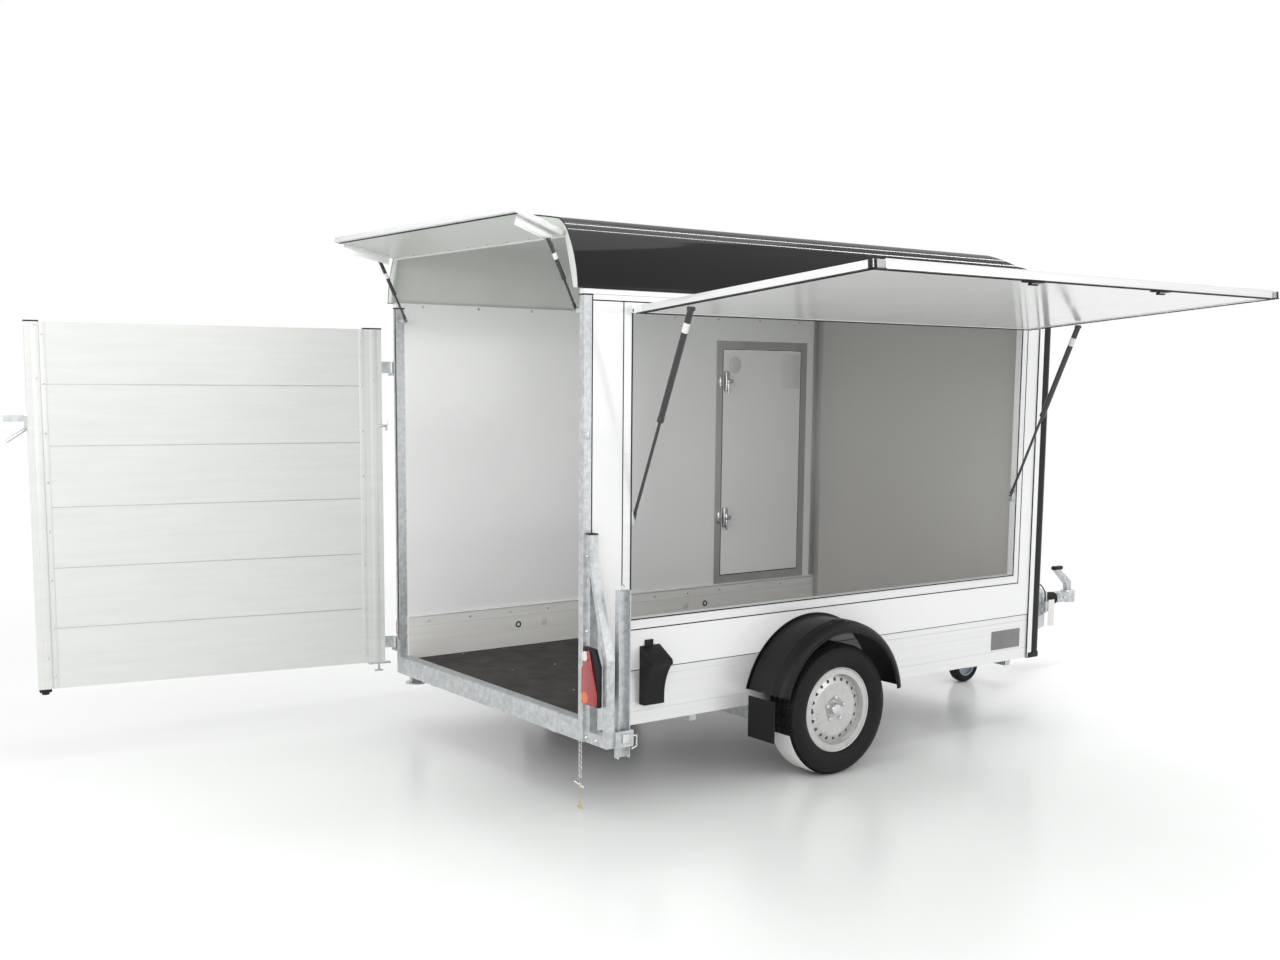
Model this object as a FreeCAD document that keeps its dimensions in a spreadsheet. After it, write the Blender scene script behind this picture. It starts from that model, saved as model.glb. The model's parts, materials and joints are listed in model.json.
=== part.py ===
"""Single-axle enclosed cargo trailer with a serving hatch, in millimetres.

The row frame has +X towards the towing vehicle, +Y to the left and +Z up,
with its origin at the centre of the coupling ball.  The words in the sheet
give places as distances ahead of the body's rear face and heights above the
ground; rear_x and ground carry them into the row frame.  Doors, flap and
hatch are shaped closed and then swung open about their hinges.
"""
import FreeCAD, Part
import math
import os
import re
import Sketcher

SIZES = [
    # frame of reference
    ("rear_x", -4490, "rear face of the body, behind the ball's centre"),
    ("ground", -440, "ground, below the ball's centre"),
    # body shell
    ("body_half", 870, "half of the body's outer width"),
    ("body_front", 2958, "front face of the body"),
    ("wall", 35, "thickness of side, front and sill panels"),
    ("post_in", 80, "inner face of the front corner posts, inside the body's side"),
    ("nose_reach", 118, "front corner posts and roof, ahead of the side walls"),
    ("corner_round", 45, "rounding of the front corner posts"),
    ("sill_bottom", 352, "lower edge of the sill boards"),
    ("sill_top", 595, "upper edge of the sill boards"),
    ("wall_top", 2189, "upper edge of the side walls"),
    ("rail_top", 2236, "upper edge of the top rails, where the roof sits"),
    ("floor_top", 388, "load floor"),
    ("floor_thick", 18, "floor board"),
    ("kick_top", 606, "upper edge of the kick boards"),
    ("kick_thick", 8, "kick boards"),
    # roof
    ("roof_rear", -30, "rear edge of the roof, overhanging the body"),
    ("roof_rise", 354, "crown of the roof above the top rails"),
    ("roof_skin", 6, "thickness of the roof shell"),
    ("liner_skin", 3, "thickness of the liner under the roof shell"),
    ("roof_level", 2250, "where the crown starts to fall to the front"),
    ("roof_nose", 2860, "where the roof turns down to the front wall"),
    ("roof_drop", 115, "fall of the crown at the nose"),
    # rear frame
    ("post_depth", 44, "depth of the rear posts and beam"),
    ("post_top", 2207, "upper end of the rear posts"),
    ("beam_bottom", 314, "lower edge of the rear beam"),
    ("beam_top", 402, "upper edge of the rear beam"),
    # chassis
    ("rail_bottom", 290, "lower edge of the chassis rails"),
    ("rail_in", 540, "inner face of the chassis rails"),
    ("rail_width", 50, "width of the chassis rails"),
    ("cross_width", 40, "width of a crossmember"),
    ("cross_bottom", 315, "lower edge of the crossmembers"),
    ("draw_front", 4180, "front end of the drawbar rails"),
    ("draw_gap", 8, "half of the gap between the drawbar rails' tips"),
    ("plate_thick", 10, "drawbar plate"),
    # axle and wheels
    ("axle_x", 1330, "axle line"),
    ("tyre_radius", 314.5, "outer radius of the tyre"),
    ("tyre_width", 195, "section width of the tyre"),
    ("tyre_mid", 990, "middle plane of the tyre from the centreline"),
    ("rim_radius", 178, "bead seat of the rim"),
    ("flange_radius", 195, "outer radius of the rim's flanges"),
    ("rim_holes", 20, "number of vent holes in a rim"),
    ("rim_hole_radius", 8.5, "vent holes in the rims"),
    ("rim_hole_ring", 143, "radius of the ring of vent holes"),
    ("rim_width", 140, "rim between its flanges' outer faces"),
    ("drum_radius", 118, "brake drum"),
    ("axle_tube", 80, "side of the square axle tube"),
    ("arm_reach", 150, "length of a suspension arm"),
    # fenders
    ("fender_radius", 410, "outer radius of the fenders"),
    ("fender_z", 330, "centre of the fenders above the ground"),
    ("fender_skin", 6, "thickness of the fenders"),
    ("fender_out", 1110, "outer edge of the fenders"),
    ("flap_bottom", 212, "lower edge of the mudflaps"),
    # serving hatch on the right
    ("hatch_rear", 204, "rear edge of the hatch frame"),
    ("hatch_front", 2863, "front edge of the hatch frame"),
    ("hatch_low", 778, "lower edge of the hatch frame"),
    ("frame_width", 48, "width of the hatch and door frames"),
    ("hatch_lap", 14, "overlap of the hatch leaf on its frame"),
    ("hatch_leaf", 28, "thickness of the hatch leaf"),
    ("hatch_gap", 8, "gap of the hatch leaf off the wall"),
    ("hatch_pin_y", 890, "hatch hinge pin from the centreline"),
    ("hatch_pin_z", 2150, "hatch hinge pin"),
    ("hatch_length", 1387, "height of the closed hatch leaf"),
    ("hatch_barrel", 14, "radius of the hatch springs' cylinders"),
    ("hatch_rod", 7, "radius of the hatch springs' rods"),
    ("hatch_open", 94.6, "opening angle of the hatch"),
    # rear flap
    ("flap_pin_x", -36, "flap hinge pin"),
    ("flap_pin_z", 2448, "flap hinge pin"),
    ("flap_length", 295, "height of the closed flap"),
    ("flap_leaf", 20, "thickness of the flap"),
    ("flap_top_half", 770, "half width of the flap at its hinge"),
    ("flap_low_half", 851, "half width of the flap at its lower edge"),
    ("flap_barrel", 9, "radius of the flap springs' cylinders"),
    ("flap_rod", 5, "radius of the flap springs' rods"),
    ("flap_spring_y", 775, "flap springs from the centreline"),
    ("flap_open", 104, "opening angle of the flap"),
    # rear door
    ("door_near", 857, "hinge edge of the closed rear door from the centreline"),
    ("door_far", 832, "latch edge of the closed rear door from the centreline"),
    ("door_boards", 6, "number of boards in the rear door"),
    ("door_low", 365, "lower edge of the rear door"),
    ("door_top", 2103, "upper edge of the rear door"),
    ("door_gap", 6, "gap of the door off the posts"),
    ("door_thick", 40, "thickness of the door's posts"),
    ("board_thick", 25, "thickness of the door's boards"),
    ("groove", 3, "width and depth of the lines between boards"),
    ("door_post", 90, "width of the door's hinge post"),
    ("latch_post", 63, "width of the door's latch post"),
    ("door_pin_x", 8, "rear door hinge pin"),
    ("door_pin_y", 908, "rear door hinge pin"),
    ("door_open", 100.3, "opening angle of the rear door"),
    ("pin_radius", 7, "door hinge pins"),
    # side door on the left
    ("side_rear", 2121, "rear edge of the side door's frame"),
    ("side_front", 2860, "front edge of the side door's frame"),
    ("side_low", 617, "lower edge of the side door's frame"),
    ("side_top", 2096, "upper edge of the side door's frame"),
    ("leaf_gap", 7, "gap of the side door in its frame"),
    # lamp carriers and prop stands
    ("carrier_out", 1031, "outer face of the lamp carriers"),
    ("carrier_tube", 35, "width of a lamp carrier's tubes"),
    ("carrier_depth", 40, "depth of a lamp carrier's tubes"),
    ("carrier_right", 12, "rear face of the right lamp carrier"),
    ("carrier_left", 90, "rear face of the left lamp carrier"),
    ("carrier_low", 690, "upper end of the outer tube"),
    ("carrier_high", 1210, "upper end of the inner tube"),
    ("lamp_depth", 35, "depth of a tail lamp"),
    ("stand_width", 60, "width of a prop stand's channel"),
    ("stand_depth", 30, "depth of a prop stand's channel"),
    ("stand_length", 720, "length of a prop stand's channel"),
    ("stand_low", 262, "lower end of the raised right stand"),
    ("stand_play", 2, "play of a stand in its clamp"),
    ("foot_radius", 55, "foot of the left stand"),
    # jockey wheel
    ("jockey_x", 3530, "stem of the jockey wheel"),
    ("jockey_trail", 60, "jockey wheel behind its stem"),
    ("jockey_radius", 110, "jockey wheel"),
    ("jockey_width", 70, "jockey wheel"),
    ("jockey_tube", 30, "outer radius of the jockey tube"),
    ("jockey_stem", 24.95, "radius of the jockey stem"),
    ("jockey_low", 400, "lower end of the jockey tube"),
    ("jockey_high", 860, "upper end of the jockey tube"),
    # coupling
    ("ball_radius", 25.5, "ball socket"),
    ("head_radius", 46, "outside of the coupling head"),
]

doc = FreeCAD.newDocument("cargo_trailer")
sheet = doc.addObject("Spreadsheet::Sheet", "Size")
for row, (alias, value, note) in enumerate(SIZES, start=1):
    sheet.set(f"A{row}", alias)
    sheet.set(f"B{row}", str(value))
    sheet.set(f"C{row}", note)
    sheet.setAlias(f"B{row}", alias)
doc.recompute()

WORDS = {alias for alias, value, note in SIZES}
Vector = FreeCAD.Vector
subparts = []


def size(alias):
    """The plain number in the sheet's cell."""
    return float(sheet.get(alias))


def words(text):
    """Turn plain size words into references to the sheet."""
    def refer(match):
        word = match.group(0)
        return f"Size.{word}" if word in WORDS else word
    return re.sub(r"[a-z]+(?:_[a-z]+)*", refer, text)


def at(x, y, z):
    """A point of the row frame from body distances."""
    return Vector(size("rear_x") + x, y, size("ground") + z)


def put(item, x, y, z):
    """Bind an item's place to the sheet."""
    item.setExpression("Placement.Base.x", words(f"rear_x + ({x})"))
    item.setExpression("Placement.Base.y", words(f"({y}) * 1"))
    item.setExpression("Placement.Base.z", words(f"ground + ({z})"))
    return item


def box(name, x, y, z):
    """A block between a low and a high plane on each axis."""
    item = doc.addObject("Part::Box", name)
    for side, (low, high) in (("Length", x), ("Width", y), ("Height", z)):
        item.setExpression(side, words(f"({high}) - ({low})"))
    return put(item, x[0], y[0], z[0])


AXES = {"X": FreeCAD.Rotation(Vector(0, 1, 0), 90),
        "Y": FreeCAD.Rotation(Vector(1, 0, 0), -90),
        "Z": FreeCAD.Rotation()}


def bar(name, axis, radius, length, x, y, z):
    """A round bar that starts at a point and runs along an axis."""
    item = doc.addObject("Part::Cylinder", name)
    item.setExpression("Radius", words(radius))
    item.setExpression("Height", words(length))
    item.Placement = FreeCAD.Placement(Vector(), AXES[axis])
    return put(item, x, y, z)


def cut(name, base, tool):
    item = doc.addObject("Part::Cut", name)
    item.Base, item.Tool = base, tool
    return item


def fuse(name, *pieces):
    item = doc.addObject("Part::MultiFuse", name)
    item.Shapes = list(pieces)
    item.Refine = True
    return item


def group(name, *pieces):
    """Like pieces that share a node and don't touch."""
    item = doc.addObject("Part::Compound", name)
    item.Links = list(pieces)
    return item


def shape(name, solid):
    """A piece made with Part's own functions."""
    item = doc.addObject("Part::Feature", name)
    item.Shape = solid
    return item


def keep(label, item):
    item.Label = label
    subparts.append(item)
    return item


def across(side, low, high):
    """A span across the body, on the left for +1 and the right for -1."""
    if side > 0:
        return (low, high)
    return (f"-({high})", f"-({low})")


def swing(item, axis, angle, centre):
    """Turn a finished item about its hinge."""
    item.Placement = FreeCAD.Placement(Vector(), FreeCAD.Rotation(axis, angle), centre)


def prism(points, push):
    """A straight-sided plate pushed along a vector."""
    return Part.Face(Part.makePolygon(points + points[:1])).extrude(push)


SIDES = (("left", 1), ("right", -1))


# ---------------------------------------------------------------- sketches
def new_body(name):
    return doc.addObject("PartDesign::Body", name)


def new_sketch(body, plane, across_x, up_z):
    """A sketch on one of the body's planes, moved to the body datum."""
    sketch = body.newObject("Sketcher::SketchObject", body.Name + "_sketch")
    base = next(f for f in body.Origin.OriginFeatures if f.Role == plane)
    sketch.AttachmentSupport = [(base, "")]
    sketch.MapMode = "FlatFace"
    sketch.setExpression("AttachmentOffset.Base.x", words(across_x))
    sketch.setExpression("AttachmentOffset.Base.y", words(up_z))
    return sketch


def loop(sketch, tag, corners):
    """A closed straight-sided loop whose corners are bound to the sheet."""
    count = len(corners)
    first = sketch.GeometryCount
    start = []
    for turn in range(count):
        angle = 2 * math.pi * turn / count
        start.append(Vector(2000 + 900 * math.cos(angle), 2000 + 900 * math.sin(angle), 0))
    for turn in range(count):
        sketch.addGeometry(Part.LineSegment(start[turn], start[(turn + 1) % count]), False)
    for turn in range(count):
        after = first + (turn + 1) % count
        sketch.addConstraint(Sketcher.Constraint("Coincident", first + turn, 2, after, 1))
    for turn, (right, up) in enumerate(corners):
        for kind, text in (("DistanceX", right), ("DistanceY", up)):
            rule = sketch.addConstraint(
                Sketcher.Constraint(kind, -1, 1, first + turn, 1, 2000))
            name = f"{tag}_{kind[-1]}{turn}"
            sketch.renameConstraint(rule, name)
            sketch.setExpression(f"Constraints.{name}", words(text))


def rectangle(left, low, right, high):
    return [(left, low), (right, low), (right, high), (left, high)]


def panel(name, outer, hole, side):
    """A wall panel between the wall's inner and outer face, with a cut-out."""
    body = new_body(name)
    sketch = new_sketch(body, "XZ_Plane", "rear_x", "ground")
    loop(sketch, "outer", outer)
    pad = body.newObject("PartDesign::Pad", name + "_pad")
    pad.Profile = sketch
    pad.setExpression("Length", words("wall"))
    pad.Reversed = side > 0
    cutter = new_sketch(body, "XZ_Plane", "rear_x", "ground")
    loop(cutter, "hole", hole)
    pocket = body.newObject("PartDesign::Pocket", name + "_opening")
    pocket.Profile = cutter
    pocket.Type = 0
    pocket.setExpression("Length", words("wall"))
    pocket.Reversed = side < 0
    body.setExpression("Placement.Base.y", words(f"{side} * (body_half - wall)"))
    return body


# ---------------------------------------------------------------- chassis
def chassis():
    pieces = []
    for name, side in SIDES:
        pieces.append(box(f"chassis_rail_{name}", ("post_depth", "body_front"),
                          across(side, "rail_in", "rail_in + rail_width"),
                          ("rail_bottom", "floor_top - floor_thick")))
    for number, share in enumerate((0.22, 0.40, 0.62, 0.97)):
        start = f"body_front * {share} - cross_width"
        pieces.append(box(f"crossmember_{number}", (start, f"body_front * {share}"),
                          ("wall - body_half", "body_half - wall"),
                          ("cross_bottom", "floor_top - floor_thick")))
    keep("chassis_frame", fuse("chassis", *pieces))


def drawbar():
    """Two rails that run together in a V, and the plate that joins them."""
    front = size("body_front")
    tip = size("draw_front")
    inner = size("rail_in")
    outer = inner + size("rail_width")
    low = size("rail_bottom")
    tall = size("floor_top") - size("floor_thick") - low
    wide = size("rail_width")
    gap = size("draw_gap")
    rails = []
    for name, side in SIDES:
        corners = [at(front, side * inner, low), at(front, side * outer, low),
                   at(tip, side * (gap + wide), low), at(tip, side * gap, low)]
        rails.append(shape(f"drawbar_{name}", prism(corners, Vector(0, 0, tall))))
    keep("drawbar_rails", group("drawbar", *rails))


def rear_frame():
    keep("rear_beam", box("rear_beam", ("0", "post_depth"), ("-body_half", "body_half"),
                          ("beam_bottom", "beam_top")))
    posts = [box(f"rear_post_{name}", ("0", "post_depth"),
                 across(side, "body_half - wall", "body_half"), ("beam_top", "post_top"))
             for name, side in SIDES]
    keep("rear_posts", group("rear_posts", *posts))


def lamp_carrier(name, side):
    """A tube frame beside the rear post that carries lamp and prop stand."""
    body = new_body(f"carrier_{name}")
    sketch = new_sketch(body, "YZ_Plane", "0", "ground")
    near = "body_half"
    bottom = "beam_bottom"
    loop(sketch, "outer", [(near, bottom), ("carrier_out", bottom),
                           ("carrier_out", "carrier_low"),
                           (f"{near} + carrier_tube", "carrier_high - 120"),
                           (f"{near} + carrier_tube", "carrier_high"),
                           (near, "carrier_high")])
    loop(sketch, "inner", [(f"{near} + carrier_tube", f"{bottom} + 50"),
                           ("carrier_out - 30", f"{bottom} + 50"),
                           ("carrier_out - 30", "carrier_low - 8"),
                           (f"{near} + carrier_tube", "carrier_high - 175")])
    pad = body.newObject("PartDesign::Pad", f"carrier_pad_{name}")
    pad.Profile = sketch
    pad.setExpression("Length", words("carrier_depth"))
    start = "carrier_left" if side > 0 else "carrier_right"
    if side > 0:
        body.setExpression("Placement.Base.x", words(f"rear_x + {start}"))
        return body
    mirror = doc.addObject("Part::Mirroring", f"carrier_mirror_{name}")
    mirror.Source = body
    mirror.Normal = Vector(0, 1, 0)
    mirror.setExpression("Placement.Base.x", words(f"rear_x + {start}"))
    return mirror


def tail_lamps():
    """Three-sided lamps on the rear faces of the carriers."""
    lamps = []
    for name, side in SIDES:
        back = size(f"carrier_{name}") - size("lamp_depth")
        near = size("body_half") + 12
        low = size("beam_bottom") + 172
        corners = [(near, low), (near + 118, low), (near + 118, low + 90),
                   (near + 58, low + 249), (near, low + 249)]
        points = [at(back, side * y, z) for y, z in corners]
        solid = prism(points, Vector(size("lamp_depth"), 0, 0))
        solid = solid.makeFillet(12, [e for e in solid.Edges
                                      if abs(e.tangentAt(e.FirstParameter).x) > 0.99])
        lamps.append(shape(f"lamp_{name}", solid))
    keep("tail_lamps", group("tail_lamps", *lamps))


def prop_stand(name, side):
    """A steel channel in a clamp beside the lamp carrier."""
    rear = f"carrier_{name} + carrier_depth + 22"
    front = f"{rear} + stand_width"
    outer = across(side, "carrier_out - stand_depth", "carrier_out")
    groove = across(side, "carrier_out - stand_depth + 4", "carrier_out + 1")
    low = "stand_low" if side < 0 else "stand_low - 47"
    high = f"{low} + stand_length"
    channel = cut(f"stand_channel_{name}",
                  box(f"stand_bar_{name}", (rear, front), outer, (low, high)),
                  box(f"stand_groove_{name}", (f"{rear} + 4", f"{front} - 4"), groove,
                      (f"{low} - 1", f"{high} + 1")))
    if side > 0:
        middle = f"{rear} + stand_width / 2"
        foot = bar("stand_foot", "Z", "foot_radius", "6", middle,
                   "carrier_out - stand_depth / 2", f"{low} - 6")
        channel = fuse("stand_with_foot", channel, foot)
    keep(f"prop_stand_{name}", channel)
    play = "stand_play"
    clamp = cut(f"clamp_{name}",
                box(f"clamp_block_{name}",
                    (f"carrier_{name} + carrier_depth", f"{front} + 10"),
                    across(side, "carrier_out - stand_depth - 12", "carrier_out + 12"),
                    ("beam_bottom", "beam_bottom + 70")),
                box(f"clamp_slot_{name}", (f"{rear} - {play}", f"{front} + {play}"),
                    across(side, f"carrier_out - stand_depth - {play}", f"carrier_out + {play}"),
                    ("beam_bottom - 1", "beam_bottom + 71")))
    return clamp


# ---------------------------------------------------------------- body shell
def shell():
    keep("floor_board", box("floor_board", ("post_depth", "body_front - 8"),
                            ("wall - body_half", "body_half - wall"),
                            ("floor_top - floor_thick", "floor_top")))
    boards = []
    for name, side in SIDES:
        board = box(f"sill_{name}", ("post_depth", "body_front"),
                    across(side, "body_half - wall", "body_half"), ("sill_bottom", "sill_top"))
        for number, share in enumerate((0.24, 0.86)):
            middle = f"sill_bottom + (sill_top - sill_bottom) * {share}"
            line = box(f"sill_line_{name}_{number}", ("post_depth - 1", "body_front + 1"),
                       across(side, "body_half - groove", "body_half + groove"),
                       (middle, f"{middle} + groove"))
            board = cut(f"sill_cut_{name}_{number}", board, line)
        boards.append(board)
    keep("sill_boards", group("sill_boards", *boards))
    keep("front_wall", box("front_wall", ("body_front - 8", "body_front - 8 + wall"),
                           ("post_in - body_half", "body_half - post_in"),
                           ("floor_top - floor_thick", "rail_top")))
    outer = rectangle("post_depth", "sill_top", "body_front", "wall_top")
    keep("side_wall_right",
         panel("wall_right", outer,
               rectangle("hatch_rear", "hatch_low", "hatch_front", "wall_top + 1"), -1))
    keep("side_wall_left",
         panel("wall_left", outer,
               rectangle("side_rear", "side_low", "side_front", "side_top"), 1))
    rails = []
    for name, side in SIDES:
        rail = box(f"top_rail_bar_{name}", ("0", "body_front"),
                   across(side, "body_half - wall", "body_half"), ("wall_top", "rail_top"))
        notch = box(f"top_rail_notch_{name}", ("-1", "post_depth"),
                    across(side, "body_half - wall - 1", "body_half + 1"),
                    ("wall_top - 1", "post_top"))
        rails.append(cut(f"top_rail_{name}", rail, notch))
    keep("top_rails", group("top_rails", *rails))
    kicks = [box(f"kick_{name}", ("post_depth", "body_front - 8"),
                 across(side, "body_half - wall - kick_thick", "body_half - wall"),
                 ("floor_top", "kick_top")) for name, side in SIDES]
    keep("kick_boards", group("kick_boards", *kicks))


def corner_posts():
    """Rounded posts at the two front corners."""
    reach = size("nose_reach")
    posts = []
    proud = 8
    for name, side in SIDES:
        inner, outer = size("body_half") - size("post_in"), size("body_half") + proud
        x0 = size("body_front")
        low, high = size("sill_bottom"), size("rail_top")
        points = [at(x0, side * inner, low), at(x0, side * outer, low),
                  at(x0 + reach, side * outer, low), at(x0 + reach, side * inner, low)]
        solid = prism(points, Vector(0, 0, high - low))
        corner = at(x0 + reach, side * outer, low)
        edges = [e for e in solid.Edges
                 if abs(e.tangentAt(e.FirstParameter).z) > 0.99
                 and math.hypot(e.Vertexes[0].X - corner.x, e.Vertexes[0].Y - corner.y) < 1]
        posts.append(shape(f"corner_post_{name}", solid.makeFillet(size("corner_round"), edges)))
    keep("front_corner_posts", group("corner_posts", *posts))


def arch_face(x, inset):
    """The roof's section: steep sides, tight shoulders and a flat crown."""
    half = size("body_half")
    rise = size("roof_rise")
    wide = (half - inset) / half
    tall = (rise - inset) / rise
    base = size("rail_top")

    def spot(y, z):
        return at(x, y * half * wide, base + z * rise * tall)

    side_out, side_in = spot(1.0, 0.0), spot(0.926, 0.607)
    shoulder = spot(0.833, 0.830)
    edges = [
        Part.Arc(side_out, spot(0.982, 0.274), side_in).toShape(),
        Part.Arc(side_in, spot(0.890, 0.735), shoulder).toShape(),
        Part.Arc(shoulder, spot(0.0, 1.0), spot(-0.833, 0.830)).toShape(),
        Part.Arc(spot(-0.833, 0.830), spot(-0.890, 0.735), spot(-0.926, 0.607)).toShape(),
        Part.Arc(spot(-0.926, 0.607), spot(-0.982, 0.274), spot(-1.0, 0.0)).toShape(),
        Part.LineSegment(spot(-1.0, 0.0), side_out).toShape(),
    ]
    return Part.Face(Part.Wire(edges))


def side_face(inset):
    """The roof seen from the side: level, then falling, then down to the front wall."""
    base = size("rail_top")
    top = base + size("roof_rise") - inset
    nose = size("roof_nose") - inset * 0.4
    front = size("body_front") + size("nose_reach") - (60 if inset else 0)
    fall = size("roof_drop")
    level = size("roof_level")
    y = -size("body_half") - 10
    rear = size("roof_rear")
    middle = (level + nose) / 2
    edges = [
        Part.LineSegment(at(rear, y, base), at(rear, y, top)).toShape(),
        Part.LineSegment(at(rear, y, top), at(level, y, top)).toShape(),
        Part.Arc(at(level, y, top), at(middle, y, top - fall * 0.25),
                 at(nose, y, top - fall)).toShape(),
        Part.Arc(at(nose, y, top - fall), at(front - 22, y, base + (top - fall - base) * 0.5),
                 at(front, y, base)).toShape(),
        Part.LineSegment(at(front, y, base), at(rear, y, base)).toShape(),
    ]
    return Part.Face(Part.Wire(edges))


def roof_solid(inset):
    length = size("body_front") + size("nose_reach") - size("roof_rear")
    bulk = arch_face(size("roof_rear"), inset).extrude(Vector(length, 0, 0))
    side = side_face(inset).extrude(Vector(0, 2 * size("body_half") + 20, 0))
    return bulk.common(side)


def roof():
    skin = size("roof_skin")
    lining = skin + size("liner_skin")
    under_shell = roof_solid(skin)
    keep("roof", shape("roof", roof_solid(0).cut(under_shell)))
    keep("roof_liner", shape("roof_liner", under_shell.cut(roof_solid(lining))))
    # the plate that closes the roof's rear end round the flap's opening
    rear = size("roof_rear")
    plate = arch_face(rear, lining).extrude(Vector(10, 0, 0))
    top, wide = size("flap_pin_z"), size("flap_top_half")
    low, broad = size("rail_top"), size("body_half") - size("wall")
    corners = [at(rear - 5, -broad, low - 5), at(rear - 5, broad, low - 5),
               at(rear - 5, wide, top), at(rear - 5, -wide, top)]
    hole = prism(corners, Vector(20, 0, 0))
    keep("roof_end_panel", shape("roof_end", plate.cut(hole)))


def ring(name, x, z, side):
    """A frame of one profile round an opening in the wall."""
    width = "frame_width"
    span = across(side, "body_half - wall", "body_half")
    hole = across(side, "body_half - wall - 1", "body_half + 1")
    return cut(name, box(name + "_outer", x, span, z),
               box(name + "_inner", (f"{x[0]} + {width}", f"{x[1]} - {width}"), hole,
                   (f"{z[0]} + {width}", f"{z[1]} - {width}")))


def openings():
    keep("hatch_frame", ring("hatch_ring", ("hatch_rear", "hatch_front"),
                             ("hatch_low", "wall_top"), -1))
    keep("side_door_frame", ring("side_ring", ("side_rear", "side_front"),
                                 ("side_low", "side_top"), 1))


# ---------------------------------------------------------------- running gear
def axle():
    """A square tube with rubber-sprung arms that trail to the wheel stubs."""
    centre = size("axle_x")
    reach = size("arm_reach")
    side_of_tube = size("axle_tube")
    z_tube = size("rail_bottom") - side_of_tube / 2
    hub_z = size("tyre_radius")
    half = 720
    tube = Part.makeBox(side_of_tube, 2 * half, side_of_tube,
                        at(centre - reach - side_of_tube / 2, -half, z_tube - side_of_tube / 2))
    solids = [tube]
    for side in (1, -1):
        inner, outer = half, half + 45
        y0 = min(side * inner, side * outer)
        pivot = at(centre - reach, y0, z_tube)
        hub = at(centre, y0, hub_z)
        push = Vector(0, outer - inner, 0)
        along = (hub - pivot).normalize()
        square = Vector(-along.z, 0, along.x) * 38
        arm = prism([pivot + square, hub + square * 0.8, hub - square * 0.8, pivot - square], push)
        caps = [Part.makeCylinder(38, 45, pivot, Vector(0, 1, 0)),
                Part.makeCylinder(30.4, 45, hub, Vector(0, 1, 0))]
        stub = Part.makeCylinder(20, size("tyre_mid") - 60 - outer,
                                 at(centre, side * outer, hub_z), Vector(0, side, 0))
        solids += [arm] + caps + [stub]
    keep("axle_beam", shape("axle", solids[0].multiFuse(solids[1:]).removeSplitter()))


def spun(profile, side):
    """Turn a closed profile of (radius, distance out) about the axle line."""
    mid = size("tyre_mid")
    points = [at(size("axle_x"), side * (mid + out), size("tyre_radius") + radius)
              for radius, out in profile]
    face = Part.Face(Part.makePolygon(points + points[:1]))
    centre = at(size("axle_x"), 0, size("tyre_radius"))
    return face.revolve(centre, Vector(0, 1, 0), 360)


def wheel(name, side):
    tyre_r = size("tyre_radius")
    half = size("tyre_width") / 2
    seat = size("rim_radius")
    flange = size("flange_radius")
    tyre = spun([(flange, -60), (seat, -60), (seat, 60), (flange, 60),
                 (flange + 8, half * 0.80), (seat + 60, half), (tyre_r - 45, half * 0.98),
                 (tyre_r - 12, half * 0.84), (tyre_r, half * 0.66),
                 (tyre_r, -half * 0.66), (tyre_r - 12, -half * 0.84),
                 (tyre_r - 45, -half * 0.98), (seat + 60, -half), (flange + 8, -half * 0.80)], side)
    keep(f"tyre_{name}", shape(f"tyre_{name}", tyre))
    edge = size("rim_width") / 2
    drum = size("drum_radius")
    rim = spun([(seat, -60), (flange, -60), (flange, -edge), (seat - 6, -edge),
                (seat - 18, -40), (seat - 40, 0), (seat - 10, 30), (drum + 4, 44), (62, 44),
                (44, 30), (0, 30),
                (0, 38), (40, 38), (58, 52), (drum + 8, 52), (seat - 8, 38), (seat - 8, edge),
                (flange, edge), (flange, 60), (seat, 60)], side)
    ring_radius = size("rim_hole_ring")
    count = round(size("rim_holes"))
    holes = []
    for number in range(count):
        turn = 2 * math.pi * number / count
        middle = at(size("axle_x") + ring_radius * math.cos(turn), side * (size("tyre_mid") + 15),
                    tyre_r + ring_radius * math.sin(turn))
        holes.append(Part.makeCylinder(size("rim_hole_radius"), 50, middle, Vector(0, side, 0)))
    keep(f"rim_{name}", shape(f"rim_{name}", rim.cut(holes)))
    bore = 20.05
    hub = spun([(bore, -112), (drum, -112), (drum, -66), (60, -60), (60, 28), (44, 30), (bore, 30)],
               side)
    keep(f"brake_drum_{name}", shape(f"brake_drum_{name}", hub))


def fender(name, side):
    """A moulded arch over the wheel, rounded along its outer edge."""
    radius = size("fender_radius")
    skin = size("fender_skin")
    inner_y = size("body_half") + 0.5
    outer_y = size("fender_out")
    z = size("fender_z")
    centre = at(size("axle_x"), 0, z)
    round_r = 45

    def section(inset):
        x = size("axle_x")
        top = z + radius - inset
        edge = outer_y - inset
        bend = round_r - inset
        start = at(x, side * inner_y, top)
        turn = at(x, side * (edge - bend), top)
        middle = at(x, side * (edge - bend * 0.293), top - bend * 0.293)
        finish = at(x, side * edge, top - bend)
        return start, turn, middle, finish

    out = section(0)
    into = section(skin)
    edges = [Part.LineSegment(out[0], out[1]).toShape(),
             Part.Arc(out[1], out[2], out[3]).toShape(),
             Part.LineSegment(out[3], into[3]).toShape(),
             Part.Arc(into[3], into[2], into[1]).toShape(),
             Part.LineSegment(into[1], into[0]).toShape(),
             Part.LineSegment(into[0], out[0]).toShape()]
    face = Part.Face(Part.Wire(edges))
    face.rotate(centre, Vector(0, 1, 0), -76)
    arch = face.revolve(centre, Vector(0, 1, 0), 158)
    keep(f"fender_{name}", shape(f"fender_{name}", arch))


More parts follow.
